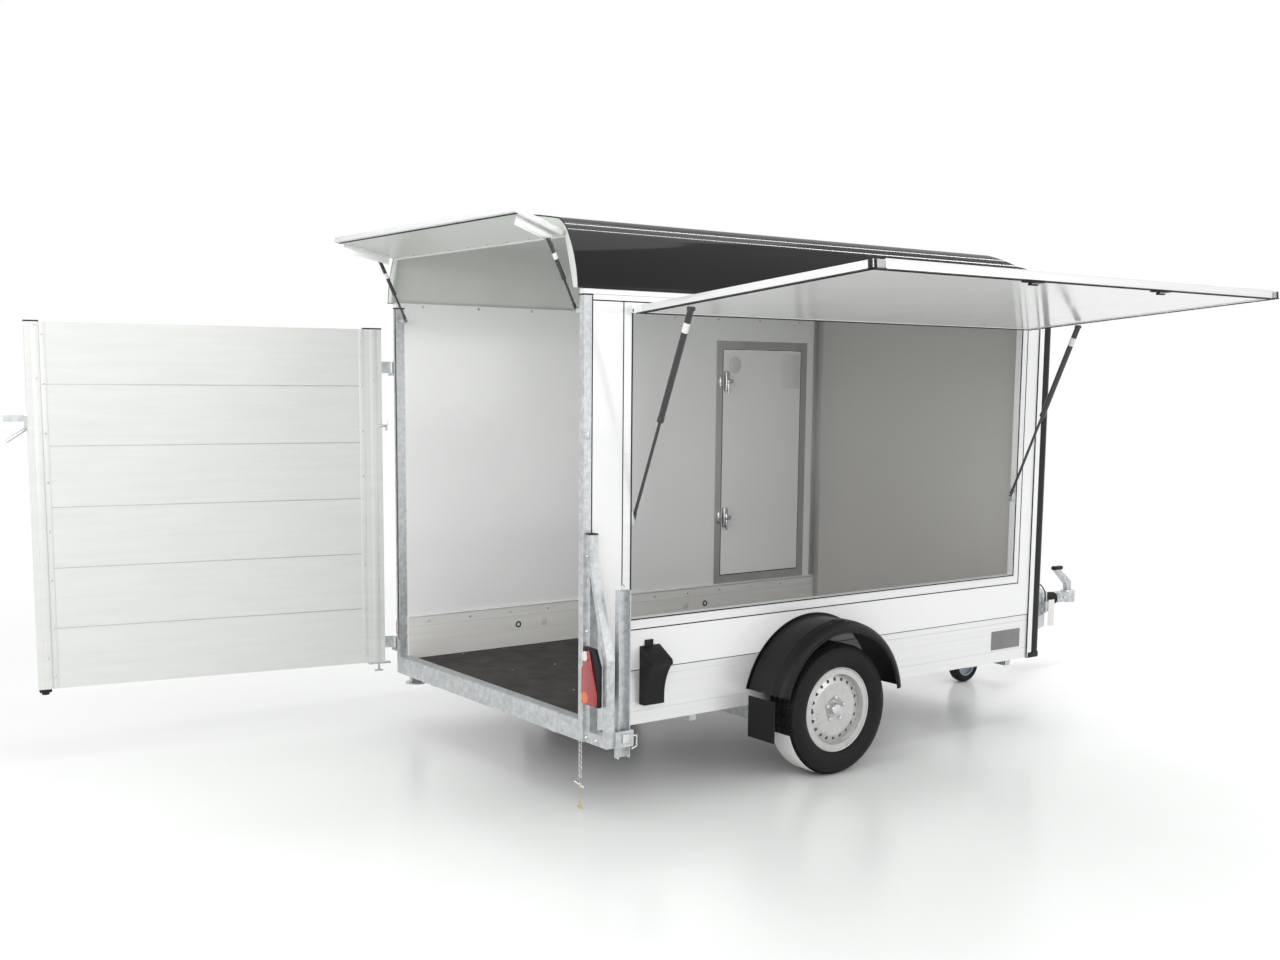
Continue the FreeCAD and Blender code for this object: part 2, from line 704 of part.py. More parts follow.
def mudflaps():
    flaps = []
    for name, side in SIDES:
        x = size("axle_x") - size("fender_radius") + 12
        y0, y1 = size("body_half") + 25, size("fender_out") - 35
        low = min(side * y0, side * y1)
        top = size("fender_z") + 75
        flaps.append(shape(f"mudflap_{name}",
                           Part.makeBox(6, y1 - y0, top - size("flap_bottom"),
                                        at(x - 18, low, size("flap_bottom")))))
    keep("mudflaps", group("mudflaps", *flaps))


def chocks():
    """Wedge chocks stowed upright in holders on the sills."""
    wedges = []
    for name, side in SIDES:
        wall_face = size("body_half")

        def spot(out, z):
            return at(300, side * (wall_face + out), z)

        edges = [Part.LineSegment(spot(0, 440), spot(38, 440)).toShape(),
                 Part.LineSegment(spot(38, 440), spot(38, 462)).toShape(),
                 Part.Arc(spot(38, 462), spot(52, 552), spot(95, 628)).toShape(),
                 Part.LineSegment(spot(95, 628), spot(95, 646)).toShape(),
                 Part.LineSegment(spot(95, 646), spot(0, 700)).toShape(),
                 Part.LineSegment(spot(0, 700), spot(0, 440)).toShape()]
        wedges.append(shape(f"chock_{name}",
                            Part.Face(Part.Wire(edges)).extrude(Vector(110, 0, 0))))
    keep("wheel_chocks", group("wheel_chocks", *wedges))


# ---------------------------------------------------------------- coupling end
def coupling():
    """Ball head, overrun housing with bellows, and hand brake."""
    ball = Vector(0, 0, 0)
    radius = size("ball_radius")
    outer = size("head_radius")
    head_tall, head_low = 78, -22
    head = Part.makeCylinder(outer, head_tall, Vector(0, 0, head_low), Vector(0, 0, 1))
    head = head.makeFillet(14, [e for e in head.Edges if e.Length > 100
                                and abs(e.BoundBox.ZMax - 56) < 1])
    neck = Part.makeBox(120, 62, 62, Vector(-140, -31, -16))
    socket = Part.makeSphere(radius, ball).fuse(
        Part.makeCylinder(radius, 60, ball, Vector(0, 0, -1)))
    keep("coupling_head", shape("coupling_head", head.fuse(neck).cut(socket).removeSplitter()))
    housing_low = size("floor_top") - size("floor_thick") - 440
    front = size("draw_front") + size("rear_x") + 40
    rear = front - 300
    body = Part.makeBox(front - rear, 84, 74 - housing_low, Vector(rear, -42, housing_low))
    body = body.makeFillet(16, [e for e in body.Edges
                                if abs(e.tangentAt(e.FirstParameter).x) > 0.99
                                and e.BoundBox.ZMax > 70])
    gland = Part.makeBox(26, 32, 24, Vector(rear + 7, -72, 6))
    holder = Part.makeBox(40, 34, 62, Vector(front - 56, -75, -54))
    body = body.multiFuse([gland, holder])
    bellows = Part.makeCone(42, 34, -140 - front, Vector(front, 0, 12), Vector(1, 0, 0))
    keep("overrun_unit", shape("overrun_unit", body.fuse(bellows).removeSplitter()))
    grip_foot = Vector(-10, 0, 56)
    points = [grip_foot + Vector(-16, 0, 0), grip_foot + Vector(26, 0, 0),
              grip_foot + Vector(20, 0, 60), grip_foot + Vector(-130, 0, 165),
              grip_foot + Vector(-150, 0, 148), grip_foot + Vector(-24, 0, 40)]
    lever = prism([p + Vector(0, -16, 0) for p in points], Vector(0, 32, 0))
    handle = shape("coupling_handle", lever)
    brake = [Vector(rear + 30, 0, 74), Vector(rear + 66, 0, 74), Vector(rear - 40, 0, 330),
             Vector(rear - 66, 0, 320)]
    hand_brake = shape("hand_brake", prism([p + Vector(0, -12, 0) for p in brake],
                                           Vector(0, 24, 0)))
    keep("hand_levers", group("hand_levers", handle, hand_brake))
    return front, rear


def held_cord(name, route, radius):
    """A tube along straight runs joined by tangent arcs."""
    edges, here = [], route[0]
    for before, corner, after in zip(route, route[1:], route[2:]):
        back, on = (before - corner), (after - corner)
        half = (math.pi - back.getAngle(on)) / 2
        reach = 0.45 * min(back.Length, on.Length)
        bend = reach / math.tan(half)
        print(f"{name}: bend radius {bend:.0f} mm")
        start, end = corner + back.normalize() * reach, corner + on.normalize() * reach
        inward = (start + end) * 0.5 - corner
        depth = bend / math.cos(half) - bend
        middle = corner + inward.normalize() * depth
        edges += [Part.LineSegment(here, start).toShape(), Part.Arc(start, middle, end).toShape()]
        here = end
    edges.append(Part.LineSegment(here, route[-1]).toShape())
    path = Part.Wire(edges)
    ring_wire = Part.Wire(Part.makeCircle(radius, route[0], route[1] - route[0]))
    tube = path.makePipeShell([ring_wire], True, False)
    wanted = math.pi * radius ** 2 * path.Length
    print(f"{name}: length {path.Length:.0f} mm, volume ratio {tube.Volume / wanted:.4f}")
    keep(name, shape(name, tube))


def cables(front, rear):
    """The lighting lead and the breakaway cable, clipped beside the overrun unit."""
    gland_x, plug_x, side_y = rear + 20, front - 40, -58
    lead = [(gland_x, side_y, 30), (gland_x, side_y, 88), (gland_x + 52, side_y - 8, 134),
            (gland_x + 120, side_y - 12, 148), (gland_x + 184, side_y - 8, 122),
            (plug_x, side_y, 68), (plug_x, side_y, 8)]
    held_cord("electric_lead", [Vector(*point) for point in lead], 4)
    pull = [(rear + 60, 44.5, 60), (rear + 116, 56, 104), (rear + 200, 64, 120),
            (rear + 290, 64, 102), (rear + 372, 54, 62), (rear + 438, 34, 14)]
    held_cord("breakaway_cable", [Vector(*point) for point in pull], 2)


def jockey():
    """A telescopic leg with a trailing wheel, held in a clamp on the drawbar."""
    top = "floor_top - floor_thick"
    plate = box("jockey_plate", ("jockey_x - 60", "jockey_x + 60"), ("-330", "330"),
                (top, f"{top} + plate_thick"))
    collar = box("jockey_collar", ("jockey_x - 42", "jockey_x + 42"), ("-42", "42"),
                 (f"{top} + plate_thick", f"{top} + 90"))
    hole = bar("jockey_hole", "Z", "jockey_tube", "200", "jockey_x", "0", f"{top} - 20")
    keep("jockey_clamp", cut("jockey_clamp", fuse("jockey_bracket", plate, collar), hole))
    tall = "jockey_high - jockey_low"
    tube = cut("jockey_tube_wall",
               bar("jockey_tube_bar", "Z", "jockey_tube", tall, "jockey_x", "0", "jockey_low"),
               bar("jockey_bore", "Z", "25", f"{tall} - 12", "jockey_x", "0", "jockey_low - 1"))
    crank = box("jockey_crank", ("jockey_x - 12", "jockey_x + 110"), ("-12", "12"),
                ("jockey_high", "jockey_high + 20"))
    keep("jockey_tube", fuse("jockey_outer", tube, crank))
    crown = "jockey_radius * 2 + 10"
    keep("jockey_stem", bar("jockey_stem", "Z", "jockey_stem", f"640 - ({crown}) - 12",
                            "jockey_x", "0", f"{crown} + 12"))
    axle_at = "jockey_x - jockey_trail"
    inner = "jockey_width / 2 + 5"
    cheeks = [box(f"fork_{name}", (f"{axle_at} - 20", "jockey_x + 24"),
                  across(side, inner, f"{inner} + 6"), ("jockey_radius - 20", crown))
              for name, side in SIDES]
    bridge = box("fork_bridge", (f"{axle_at} - 20", "jockey_x + 24"),
                 (f"-({inner}) - 6", f"{inner} + 6"), (crown, f"{crown} + 12"))
    pin = bar("fork_pin", "Y", "8", f"2 * ({inner}) + 12", axle_at,
              f"-({inner}) - 6", "jockey_radius")
    keep("jockey_fork", fuse("jockey_fork", bridge, pin, *cheeks))
    keep("jockey_wheel",
         cut("jockey_wheel",
             bar("jockey_disc", "Y", "jockey_radius", "jockey_width", axle_at,
                 "-jockey_width / 2", "jockey_radius"),
             bar("jockey_wheel_bore", "Y", "8.05", "jockey_width + 2", axle_at,
                 "-jockey_width / 2 - 1", "jockey_radius")))


# ---------------------------------------------------------------- doors
def rear_door():
    face = "-door_gap"
    near, far = "door_near", "-door_far"
    back, front = f"{face} - 8 - board_thick", f"{face} - 8"
    across_boards = (f"{far} + latch_post", f"{near} - door_post")
    boards = box("door_boards", (back, front), across_boards, ("door_low", "door_top"))
    count = round(size("door_boards"))
    for number in range(1, count):
        level = f"door_low + (door_top - door_low) * {number} / door_boards"
        for skin, plane in (("in", front), ("out", back)):
            line = box(f"board_line_{skin}_{number}", (f"{plane} - groove / 2", f"{plane} + groove / 2"),
                       (f"{across_boards[0]} - 1", f"{across_boards[1]} + 1"),
                       (level, f"{level} + groove"))
            boards = cut(f"boards_{skin}_{number}", boards, line)
    hinge_post = box("door_hinge_post", (f"{face} - door_thick", face),
                     (f"{near} - door_post", near), ("door_low", "door_top"))
    latch_post = box("door_latch_post", (f"{face} - door_thick", face),
                     (far, f"{far} + latch_post"), ("door_low", "door_top"))
    keep("rear_door_boards", group("rear_door_boards", boards))
    keep("rear_door_posts", group("rear_door_posts", hinge_post, latch_post))
    straps = []
    for level in (440, 1880):
        arm = box(f"strap_{level}", (f"{face} - 14", face), (near, "door_pin_y"),
                  (f"{level + 1}", f"{level + 60}"))
        knuckle = bar(f"knuckle_{level}", "Z", "13", "59", "door_pin_x", "door_pin_y",
                      f"{level + 1}")
        joint = box(f"strap_end_{level}", (f"{face} - 14", "door_pin_x"),
                    ("door_pin_y - 11", "door_pin_y"), (f"{level + 1}", f"{level + 60}"))
        bore = bar(f"knuckle_bore_{level}", "Z", "pin_radius + 0.05", "62", "door_pin_x",
                   "door_pin_y", f"{level - 1}")
        straps.append(cut(f"hinge_strap_{level}", fuse(f"strap_solid_{level}", arm, joint, knuckle),
                          bore))
    keep("rear_door_hinges", group("rear_door_hinges", *straps))
    latch = box("latch_bar", (f"{face} - door_thick - 22", f"{face} - door_thick"),
                (f"{far} - 100", f"{far} + 50"), ("1640", "1668"))
    keep("rear_door_latch", group("rear_door_latch", latch))
    lugs = []
    for level in (440, 1880):
        lug = box(f"lug_{level}", ("door_pin_x - 14", "post_depth"),
                  ("body_half", "door_pin_y + 14"), (f"{level - 12}", f"{level}"))
        pin = bar(f"pin_{level}", "Z", "pin_radius", "66", "door_pin_x", "door_pin_y",
                  f"{level - 6}")
        lugs.append(fuse(f"hinge_lug_{level}", lug, pin))
    keep("rear_door_lugs", group("rear_door_lugs", *lugs))
    centre = at(size("door_pin_x"), size("door_pin_y"), 0)
    return [item for item in subparts if item.Label in
            ("rear_door_boards", "rear_door_posts", "rear_door_hinges", "rear_door_latch")], centre


def hatch_leaf():
    inner = "body_half + hatch_gap"
    lap = "frame_width - hatch_lap"
    leaf = box("hatch_panel", (f"hatch_rear + {lap}", f"hatch_front - ({lap})"),
               across(-1, inner, f"{inner} + hatch_leaf"),
               ("hatch_pin_z - 6 - hatch_length", "hatch_pin_z - 6"))
    barrel = bar("hatch_barrel_rod", "X", "8", f"hatch_front - hatch_rear - 2 * ({lap})",
                 f"hatch_rear + {lap}", "-hatch_pin_y", "hatch_pin_z")
    return keep("side_hatch", group("side_hatch", fuse("hatch_with_barrel", leaf, barrel)))


def rear_flap():
    """A trapezoid leaf that closes the arch above the rear door."""
    x = size("flap_pin_x") - 2
    top = size("flap_pin_z") - 3
    low = top - size("flap_length")
    wide, broad = size("flap_top_half"), size("flap_low_half")
    corners = [at(x, -broad, low), at(x, broad, low), at(x, wide, top), at(x, -wide, top)]
    leaf = prism(corners, Vector(-size("flap_leaf"), 0, 0))
    barrel = Part.makeCylinder(5, 2 * wide, at(size("flap_pin_x"), -wide, size("flap_pin_z")),
                               Vector(0, 1, 0))
    return keep("rear_flap", shape("rear_flap", leaf.fuse(barrel).removeSplitter()))


def side_door():
    gap = "frame_width + leaf_gap"
    front = f"side_front - ({gap})"
    leaf = box("side_door_leaf", (f"side_rear + {gap}", front),
               across(1, "body_half - wall", "body_half"),
               (f"side_low + {gap}", f"side_top - ({gap})"))
    pieces = [leaf]
    for share in (0.2, 0.8):
        level = f"side_low + (side_top - side_low) * {share} - 40"
        pieces.append(box(f"side_hinge_plate_{share}", (f"{front} - 40", front),
                          ("body_half", "body_half + 4"), (level, f"{level} + 80")))
        pieces.append(bar(f"side_hinge_barrel_{share}", "Z", "8", "80", front,
                          "body_half + 10", level))
    return keep("side_door", fuse("side_door", *pieces))


# ---------------------------------------------------------------- gas springs
def turned(point, centre, axis, angle):
    place = FreeCAD.Placement(Vector(), FreeCAD.Rotation(axis, angle), centre)
    return place.multVec(point)


def gas_spring(name, upper, lower, radius, barrel, rod_radius, stroke, pin_axis):
    """A cylinder pinned at its upper eye, and a rod that ends at the lower eye."""
    along = (lower - upper).normalize()
    length = (lower - upper).Length
    reach = radius + 2
    eye = Part.makeCylinder(radius * 0.65, 2 * reach, upper - pin_axis * reach, pin_axis)
    outer = Part.makeCylinder(radius, barrel, upper, along).fuse(eye)
    bore = Part.makeCylinder(rod_radius + 0.05, barrel - 12, upper + along * 12.5, along)
    keep(f"{name}_cylinder", shape(f"{name}_cylinder", outer.cut(bore)))
    inside = barrel - 22 - stroke
    start = barrel - inside
    rod = Part.makeCylinder(rod_radius, length - start, upper + along * start, along)
    keep(f"{name}_rod", shape(f"{name}_rod", rod))


def gas_springs():
    hatch_axis = at(0, -size("hatch_pin_y"), size("hatch_pin_z"))
    along_x = Vector(1, 0, 0)
    lap = size("frame_width")
    for name, x in (("rear", size("hatch_rear") + lap + 20),
                    ("front", size("hatch_front") - lap - 20)):
        closed = at(x, -size("hatch_pin_y") + 32, size("hatch_pin_z") - 345)
        centre = Vector(closed.x, hatch_axis.y, hatch_axis.z)
        upper = turned(closed, centre, along_x, -size("hatch_open"))
        lower = at(x, -size("body_half") + 15, 1262)
        stroke = (lower - upper).Length - (lower - closed).Length
        gas_spring(f"hatch_spring_{name}", upper, lower, size("hatch_barrel"), 500,
                   size("hatch_rod"), stroke, along_x)
    for name, side in SIDES:
        y = side * size("flap_spring_y")
        closed = at(size("flap_pin_x") + 36, y, size("flap_pin_z") - 72)
        centre = at(size("flap_pin_x"), y, size("flap_pin_z"))
        upper = turned(closed, centre, Vector(0, 1, 0), size("flap_open"))
        lower = at(size("post_depth") / 2, y, 2150)
        stroke = (lower - upper).Length - (lower - closed).Length
        gas_spring(f"flap_spring_{name}", upper, lower, size("flap_barrel"), 175,
                   size("flap_rod"), stroke, Vector(0, 1, 0))


# ---------------------------------------------------------------- assembly
chassis()
drawbar()
rear_frame()
carriers = []
for name, side in SIDES:
    carriers.append(lamp_carrier(name, side))
keep("lamp_carriers", group("lamp_carriers", *carriers))
tail_lamps()
clamps = [prop_stand(name, side) for name, side in SIDES]
keep("stand_clamps", group("stand_clamps", *clamps))
shell()
corner_posts()
roof()
openings()
axle()
for name, side in SIDES:
    wheel(name, side)
    fender(name, side)
mudflaps()
chocks()
housing_front, housing_rear = coupling()
cables(housing_front, housing_rear)
jockey()
door_pieces, door_axis = rear_door()
hatch = hatch_leaf()
flap = rear_flap()
side_door()
gas_springs()
doc.recompute()

for item in door_pieces:
    swing(item, Vector(0, 0, 1), -size("door_open"), door_axis)
swing(hatch, Vector(1, 0, 0), -size("hatch_open"),
      at(0, -size("hatch_pin_y"), size("hatch_pin_z")))
swing(flap, Vector(0, 1, 0), size("flap_open"), at(size("flap_pin_x"), 0, size("flap_pin_z")))
doc.recompute()

for item in doc.Objects:
    if "Invalid" in item.State or "Error" in item.State:
        raise RuntimeError(f"{item.Name} did not build: {item.State}")
for item in subparts:
    if item.Shape.isNull() or not item.Shape.isValid():
        raise RuntimeError(f"{item.Label} has no valid shape")

os.makedirs("parts", exist_ok=True)
for item in subparts:
    item.Shape.exportStep(f"parts/{item.Label}.step")
print(f"{len(subparts)} sub-parts written")
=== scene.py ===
"""Looks of a single-axle enclosed cargo trailer with an open serving hatch.

Metres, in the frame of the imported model: +X towards the towing vehicle, +Y to
the left, +Z up, with the towing ball's centre at the origin.
"""
import json
import math

import bmesh
import bpy
from mathutils import Matrix, Vector


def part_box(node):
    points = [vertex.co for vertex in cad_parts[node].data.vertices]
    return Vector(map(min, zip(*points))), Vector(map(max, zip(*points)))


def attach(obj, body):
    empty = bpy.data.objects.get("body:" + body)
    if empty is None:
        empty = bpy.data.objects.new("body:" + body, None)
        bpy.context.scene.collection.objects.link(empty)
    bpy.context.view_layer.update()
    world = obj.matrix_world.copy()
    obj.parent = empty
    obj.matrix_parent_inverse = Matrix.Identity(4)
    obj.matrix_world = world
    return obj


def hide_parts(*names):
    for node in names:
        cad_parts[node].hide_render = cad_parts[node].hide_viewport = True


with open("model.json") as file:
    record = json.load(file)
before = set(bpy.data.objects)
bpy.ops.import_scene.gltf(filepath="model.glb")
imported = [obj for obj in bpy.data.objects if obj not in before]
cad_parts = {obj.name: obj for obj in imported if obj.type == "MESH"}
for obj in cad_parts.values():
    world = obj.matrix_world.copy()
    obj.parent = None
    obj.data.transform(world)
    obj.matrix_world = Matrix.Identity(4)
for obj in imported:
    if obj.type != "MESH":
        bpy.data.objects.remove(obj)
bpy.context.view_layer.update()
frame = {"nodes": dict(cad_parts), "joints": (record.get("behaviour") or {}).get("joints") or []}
NODES = frame["nodes"]

# ---------------------------------------------------------------- viewpoint
# A camera stands behind the rear right corner at about eye height, with a
# short telephoto lens and its frame shifted up a little.
EYE = Vector((-7.790, -5.728, 1.4235))
HEADING, DIP, LEAN = math.radians(53.48), math.radians(-6.90), 0.0089
LENS_MM, SENSOR_MM, SHIFT_UP = 39.41, 36.0, 0.0534

ahead = Vector((math.cos(HEADING) * math.cos(DIP), math.sin(HEADING) * math.cos(DIP),
                math.sin(DIP)))
level_right = ahead.cross(Vector((0, 0, 1))).normalized()
level_up = level_right.cross(ahead)
right = level_right * math.cos(LEAN) + level_up * math.sin(LEAN)
upward = level_up * math.cos(LEAN) - level_right * math.sin(LEAN)
camera_data = bpy.data.cameras.new("camera")
camera_data.lens = LENS_MM
camera_data.sensor_width = SENSOR_MM
camera_data.shift_y = SHIFT_UP
camera_data.clip_end = 100
camera = bpy.data.objects.new("camera", camera_data)
bpy.context.scene.collection.objects.link(camera)
camera.matrix_world = Matrix.Translation(EYE) @ Matrix(
    (right, upward, -ahead)).transposed().to_4x4()
bpy.context.scene.camera = camera
bpy.context.scene.view_settings.view_transform = "Standard"

# ---------------------------------------------------------------- studio
# A pale, slightly glossy floor under a white room, with three soft lamps:
# one large overhead, one from behind the camera and one from the left.
GROUND = -0.440
FLOOR_COLOUR = (0.93, 0.94, 0.93)
FADE_NEAR, FADE_FAR = 2.6, 7.0


def node(tree, kind, **values):
    """Add a shader node and set its plain properties and inputs."""
    made = tree.nodes.new(kind)
    for key, value in values.items():
        if hasattr(made, key):
            setattr(made, key, value)
        else:
            made.inputs[key.replace("_", " ")].default_value = value
    return made


def new_material(name):
    """An empty material with its shader, and its object coordinates."""
    material = bpy.data.materials.new(name)
    material.use_nodes = True
    tree = material.node_tree
    tree.nodes.clear()
    output = tree.nodes.new("ShaderNodeOutputMaterial")
    shader = tree.nodes.new("ShaderNodeBsdfPrincipled")
    tree.links.new(shader.outputs[0], output.inputs[0])
    place = tree.nodes.new("ShaderNodeTexCoord").outputs["Object"]
    return material, tree, shader, place


def finish_of(name, light, dark, grain=30.0, rough=(0.3, 0.5), metal=0.0, dent=0.0,
              dent_grain=None, stretch=(1, 1, 1), coat=0.0, gloss=0.5):
    """A finish whose tone, roughness and relief vary over the surface."""
    material, tree, shader, place = new_material(name)
    shader.inputs["Metallic"].default_value = metal
    shader.inputs["Coat Weight"].default_value = coat
    shader.inputs["Coat Roughness"].default_value = 0.05
    shader.inputs["Specular IOR Level"].default_value = gloss
    mapping = node(tree, "ShaderNodeMapping")
    mapping.inputs["Scale"].default_value = stretch
    tree.links.new(place, mapping.inputs["Vector"])
    cloud = node(tree, "ShaderNodeTexNoise", Scale=grain, Detail=5.0, Roughness=0.6)
    tree.links.new(mapping.outputs[0], cloud.inputs["Vector"])
    ramp = tree.nodes.new("ShaderNodeValToRGB")
    ramp.color_ramp.elements[0].position = 0.30
    ramp.color_ramp.elements[1].position = 0.70
    ramp.color_ramp.elements[0].color = (*dark, 1)
    ramp.color_ramp.elements[1].color = (*light, 1)
    tree.links.new(cloud.outputs["Fac"], ramp.inputs["Fac"])
    tree.links.new(ramp.outputs["Color"], shader.inputs["Base Color"])
    spread = node(tree, "ShaderNodeMapRange")
    spread.inputs["From Min"].default_value = 0.3
    spread.inputs["From Max"].default_value = 0.7
    spread.inputs["To Min"].default_value = rough[0]
    spread.inputs["To Max"].default_value = rough[1]
    tree.links.new(cloud.outputs["Fac"], spread.inputs["Value"])
    tree.links.new(spread.outputs["Result"], shader.inputs["Roughness"])
    if dent:
        fine = node(tree, "ShaderNodeTexNoise", Scale=dent_grain or grain * 4, Detail=3.0)
        tree.links.new(mapping.outputs[0], fine.inputs["Vector"])
        relief = node(tree, "ShaderNodeBump", Strength=dent, Distance=0.001)
        tree.links.new(fine.outputs["Fac"], relief.inputs["Height"])
        tree.links.new(relief.outputs["Normal"], shader.inputs["Normal"])
    return material


def dress(material, *names):
    """Give the named carried-over nodes a finish."""
    for name in names:
        slots = NODES[name].data.materials
        slots.clear()
        slots.append(material)


bpy.ops.object.select_all(action="DESELECT")
bpy.ops.mesh.primitive_plane_add(size=60, location=(0, 0, GROUND))
floor = bpy.context.object
floor.name = "studio_floor"
floor.data.transform(floor.matrix_world)
floor.matrix_world = Matrix.Identity(4)
floor_finish = finish_of("studio_floor", FLOOR_COLOUR, (0.90, 0.92, 0.905), grain=0.6,
                         rough=(0.20, 0.26), gloss=0.35)
tree = floor_finish.node_tree
shader = next(item for item in tree.nodes if item.type == "BSDF_PRINCIPLED")
output = next(item for item in tree.nodes if item.type == "OUTPUT_MATERIAL")
place = next(item for item in tree.nodes if item.type == "TEX_COORD").outputs["Object"]
away = node(tree, "ShaderNodeVectorMath", operation="DISTANCE")
away.inputs[1].default_value = (-3.0, 0.4, 0)
tree.links.new(place, away.inputs[0])
fade = node(tree, "ShaderNodeMapRange", interpolation_type="SMOOTHSTEP")
fade.inputs["From Min"].default_value = FADE_NEAR
fade.inputs["From Max"].default_value = FADE_FAR
tree.links.new(away.outputs["Value"], fade.inputs["Value"])
rays = tree.nodes.new("ShaderNodeLightPath")
viewed = node(tree, "ShaderNodeMath", operation="MAXIMUM")
tree.links.new(rays.outputs["Is Camera Ray"], viewed.inputs[0])
tree.links.new(rays.outputs["Is Glossy Ray"], viewed.inputs[1])
share = node(tree, "ShaderNodeMath", operation="MULTIPLY")
tree.links.new(viewed.outputs[0], share.inputs[0])
tree.links.new(fade.outputs["Result"], share.inputs[1])
white = node(tree, "ShaderNodeEmission", Color=(1, 1, 1, 1), Strength=1.0)
whiten = tree.nodes.new("ShaderNodeMixShader")
tree.links.new(share.outputs[0], whiten.inputs[0])
tree.links.new(shader.outputs[0], whiten.inputs[1])
tree.links.new(white.outputs[0], whiten.inputs[2])
tree.links.new(whiten.outputs[0], output.inputs[0])
floor.data.materials.append(floor_finish)

world = bpy.data.worlds.new("white_room")
bpy.context.scene.world = world
world.use_nodes = True
sky = world.node_tree
sky.nodes.clear()
sky_out = sky.nodes.new("ShaderNodeOutputWorld")
seen = node(sky, "ShaderNodeBackground", Color=(1, 1, 1, 1), Strength=1.0)
lit = node(sky, "ShaderNodeBackground", Color=(1, 1, 1, 1), Strength=0.80)
path = sky.nodes.new("ShaderNodeLightPath")
either = node(sky, "ShaderNodeMath", operation="MAXIMUM")
blend = sky.nodes.new("ShaderNodeMixShader")
sky.links.new(path.outputs["Is Camera Ray"], either.inputs[0])
sky.links.new(path.outputs["Is Glossy Ray"], either.inputs[1])
sky.links.new(either.outputs[0], blend.inputs[0])
sky.links.new(lit.outputs[0], blend.inputs[1])
sky.links.new(seen.outputs[0], blend.inputs[2])
sky.links.new(blend.outputs[0], sky_out.inputs[0])


def soft_lamp(name, place, target, width, height, watts):
    data = bpy.data.lights.new(name, "AREA")
    data.shape = "RECTANGLE"
    data.size, data.size_y, data.energy = width, height, watts
    lamp = bpy.data.objects.new(name, data)
    bpy.context.scene.collection.objects.link(lamp)
    lamp.location = place
    lamp.rotation_euler = (Vector(target) - Vector(place)).to_track_quat("-Z", "Y").to_euler()


soft_lamp("lamp_overhead", (-3.5, -0.5, 5.2), (-3.2, 0, 0), 6.0, 3.5, 80)
soft_lamp("lamp_camera_side", (-9.0, -6.5, 3.4), (-3.2, 0, 0.8), 3.5, 2.5, 110)
soft_lamp("lamp_rear", (-9.6, -1.6, 2.3), (-2.0, 0.3, 0.8), 3.0, 2.0, 75)
soft_lamp("lamp_right_side", (-1.0, -7.5, 2.2), (-3.0, 0, 0.6), 4.0, 2.5, 70)
soft_lamp("strip_near", (0.5, -1.3, 4.7), (0.5, -1.2, 0), 9.0, 0.07, 60)
soft_lamp("strip_far", (0.5, -0.2, 4.8), (0.5, -0.1, 0), 9.0, 0.09, 60)

# ---------------------------------------------------------------- chassis
# Rails, crossmembers, drawbar, axle and lamp carriers are mild steel, welded
# or bolted and hot-dip galvanised, so they show a grey spangle and dull spots.
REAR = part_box("rear_beam")[0][0]


def at(x, y, z):
    """A point given ahead of the body's rear face, to the left, above the ground."""
    return Vector((REAR + x, y, GROUND + z))


zinc = finish_of("galvanised_steel", (0.66, 0.68, 0.69), (0.42, 0.44, 0.45), grain=38,
                 rough=(0.34, 0.52), metal=0.75, dent=0.35, dent_grain=90)
dress(zinc, "chassis_frame", "drawbar_rails", "rear_beam", "rear_posts", "lamp_carriers",
      "prop_stand_left", "prop_stand_right", "stand_clamps", "axle_beam",
      "coupling_head", "overrun_unit", "jockey_clamp", "jockey_tube", "jockey_stem",
      "jockey_fork", "hand_levers", "rear_door_hinges", "rear_door_lugs", "rear_door_latch")

# ---------------------------------------------------------------- panels
# Side walls, doors and hatch are 35 mm sandwich panels with a white
# glass-fibre laminate skin, glossy and very slightly wavy.
laminate = finish_of("white_laminate", (0.86, 0.865, 0.86), (0.84, 0.845, 0.84), grain=2.0,
                     rough=(0.10, 0.16), dent=0.05, dent_grain=4)
dress(laminate, "side_wall_left", "side_wall_right", "side_door", "side_hatch", "top_rails")
# The front wall's inner skin, the roof's liner and the rear flap are greyer,
# with a fine matt texture. The front wall's darker grey is painted shade: its skin
# is the same white laminate, standing in shadow inside the body.
grey_laminate = finish_of("grey_laminate", (0.58, 0.57, 0.545), (0.47, 0.46, 0.44), grain=420,
                          rough=(0.38, 0.52), dent=0.10, dent_grain=420)
liner = finish_of("liner_laminate", (0.64, 0.66, 0.63), (0.60, 0.62, 0.59), grain=5.0,
                  rough=(0.28, 0.38), dent=0.05, dent_grain=60)
dress(grey_laminate, "front_wall")
dress(liner, "roof_liner", "roof_end_panel", "rear_flap")

# ---------------------------------------------------------------- joints between panels
# Black rubber seals and joint lines show between posts, walls, rails and the
# hatch frame; they are pressed into the gaps after the panels are bonded.
seal_black = finish_of("seal_black", (0.012, 0.012, 0.012), (0.006, 0.006, 0.006), grain=80,
                       rough=(0.55, 0.7), dent=0.2, dent_grain=400, gloss=0.3)


def settle(piece, name, body, material):
    """Move a piece's place into its mesh, and finish, name and fasten it."""
    piece.name = piece.data.name = name
    bpy.context.view_layer.update()
    piece.data.transform(piece.matrix_world)
    piece.matrix_world = Matrix.Identity(4)
    piece.data.materials.clear()
    piece.data.materials.append(material)
    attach(piece, body)
    return piece


def pick(piece):
    """Make one object the only one selected, and active."""
    bpy.ops.object.select_all(action="DESELECT")
    piece.select_set(True)
    bpy.context.view_layer.objects.active = piece


def soften(piece, width, segments=2, angle=40):
    """Round a piece's hard edges with an applied bevel."""
    pick(piece)
    edge = piece.modifiers.new("soft_edge", "BEVEL")
    edge.width, edge.segments = width, segments
    edge.limit_method, edge.angle_limit = "ANGLE", math.radians(angle)
    bpy.ops.object.modifier_apply(modifier=edge.name)
    bpy.ops.object.shade_smooth_by_angle(angle=math.radians(50))


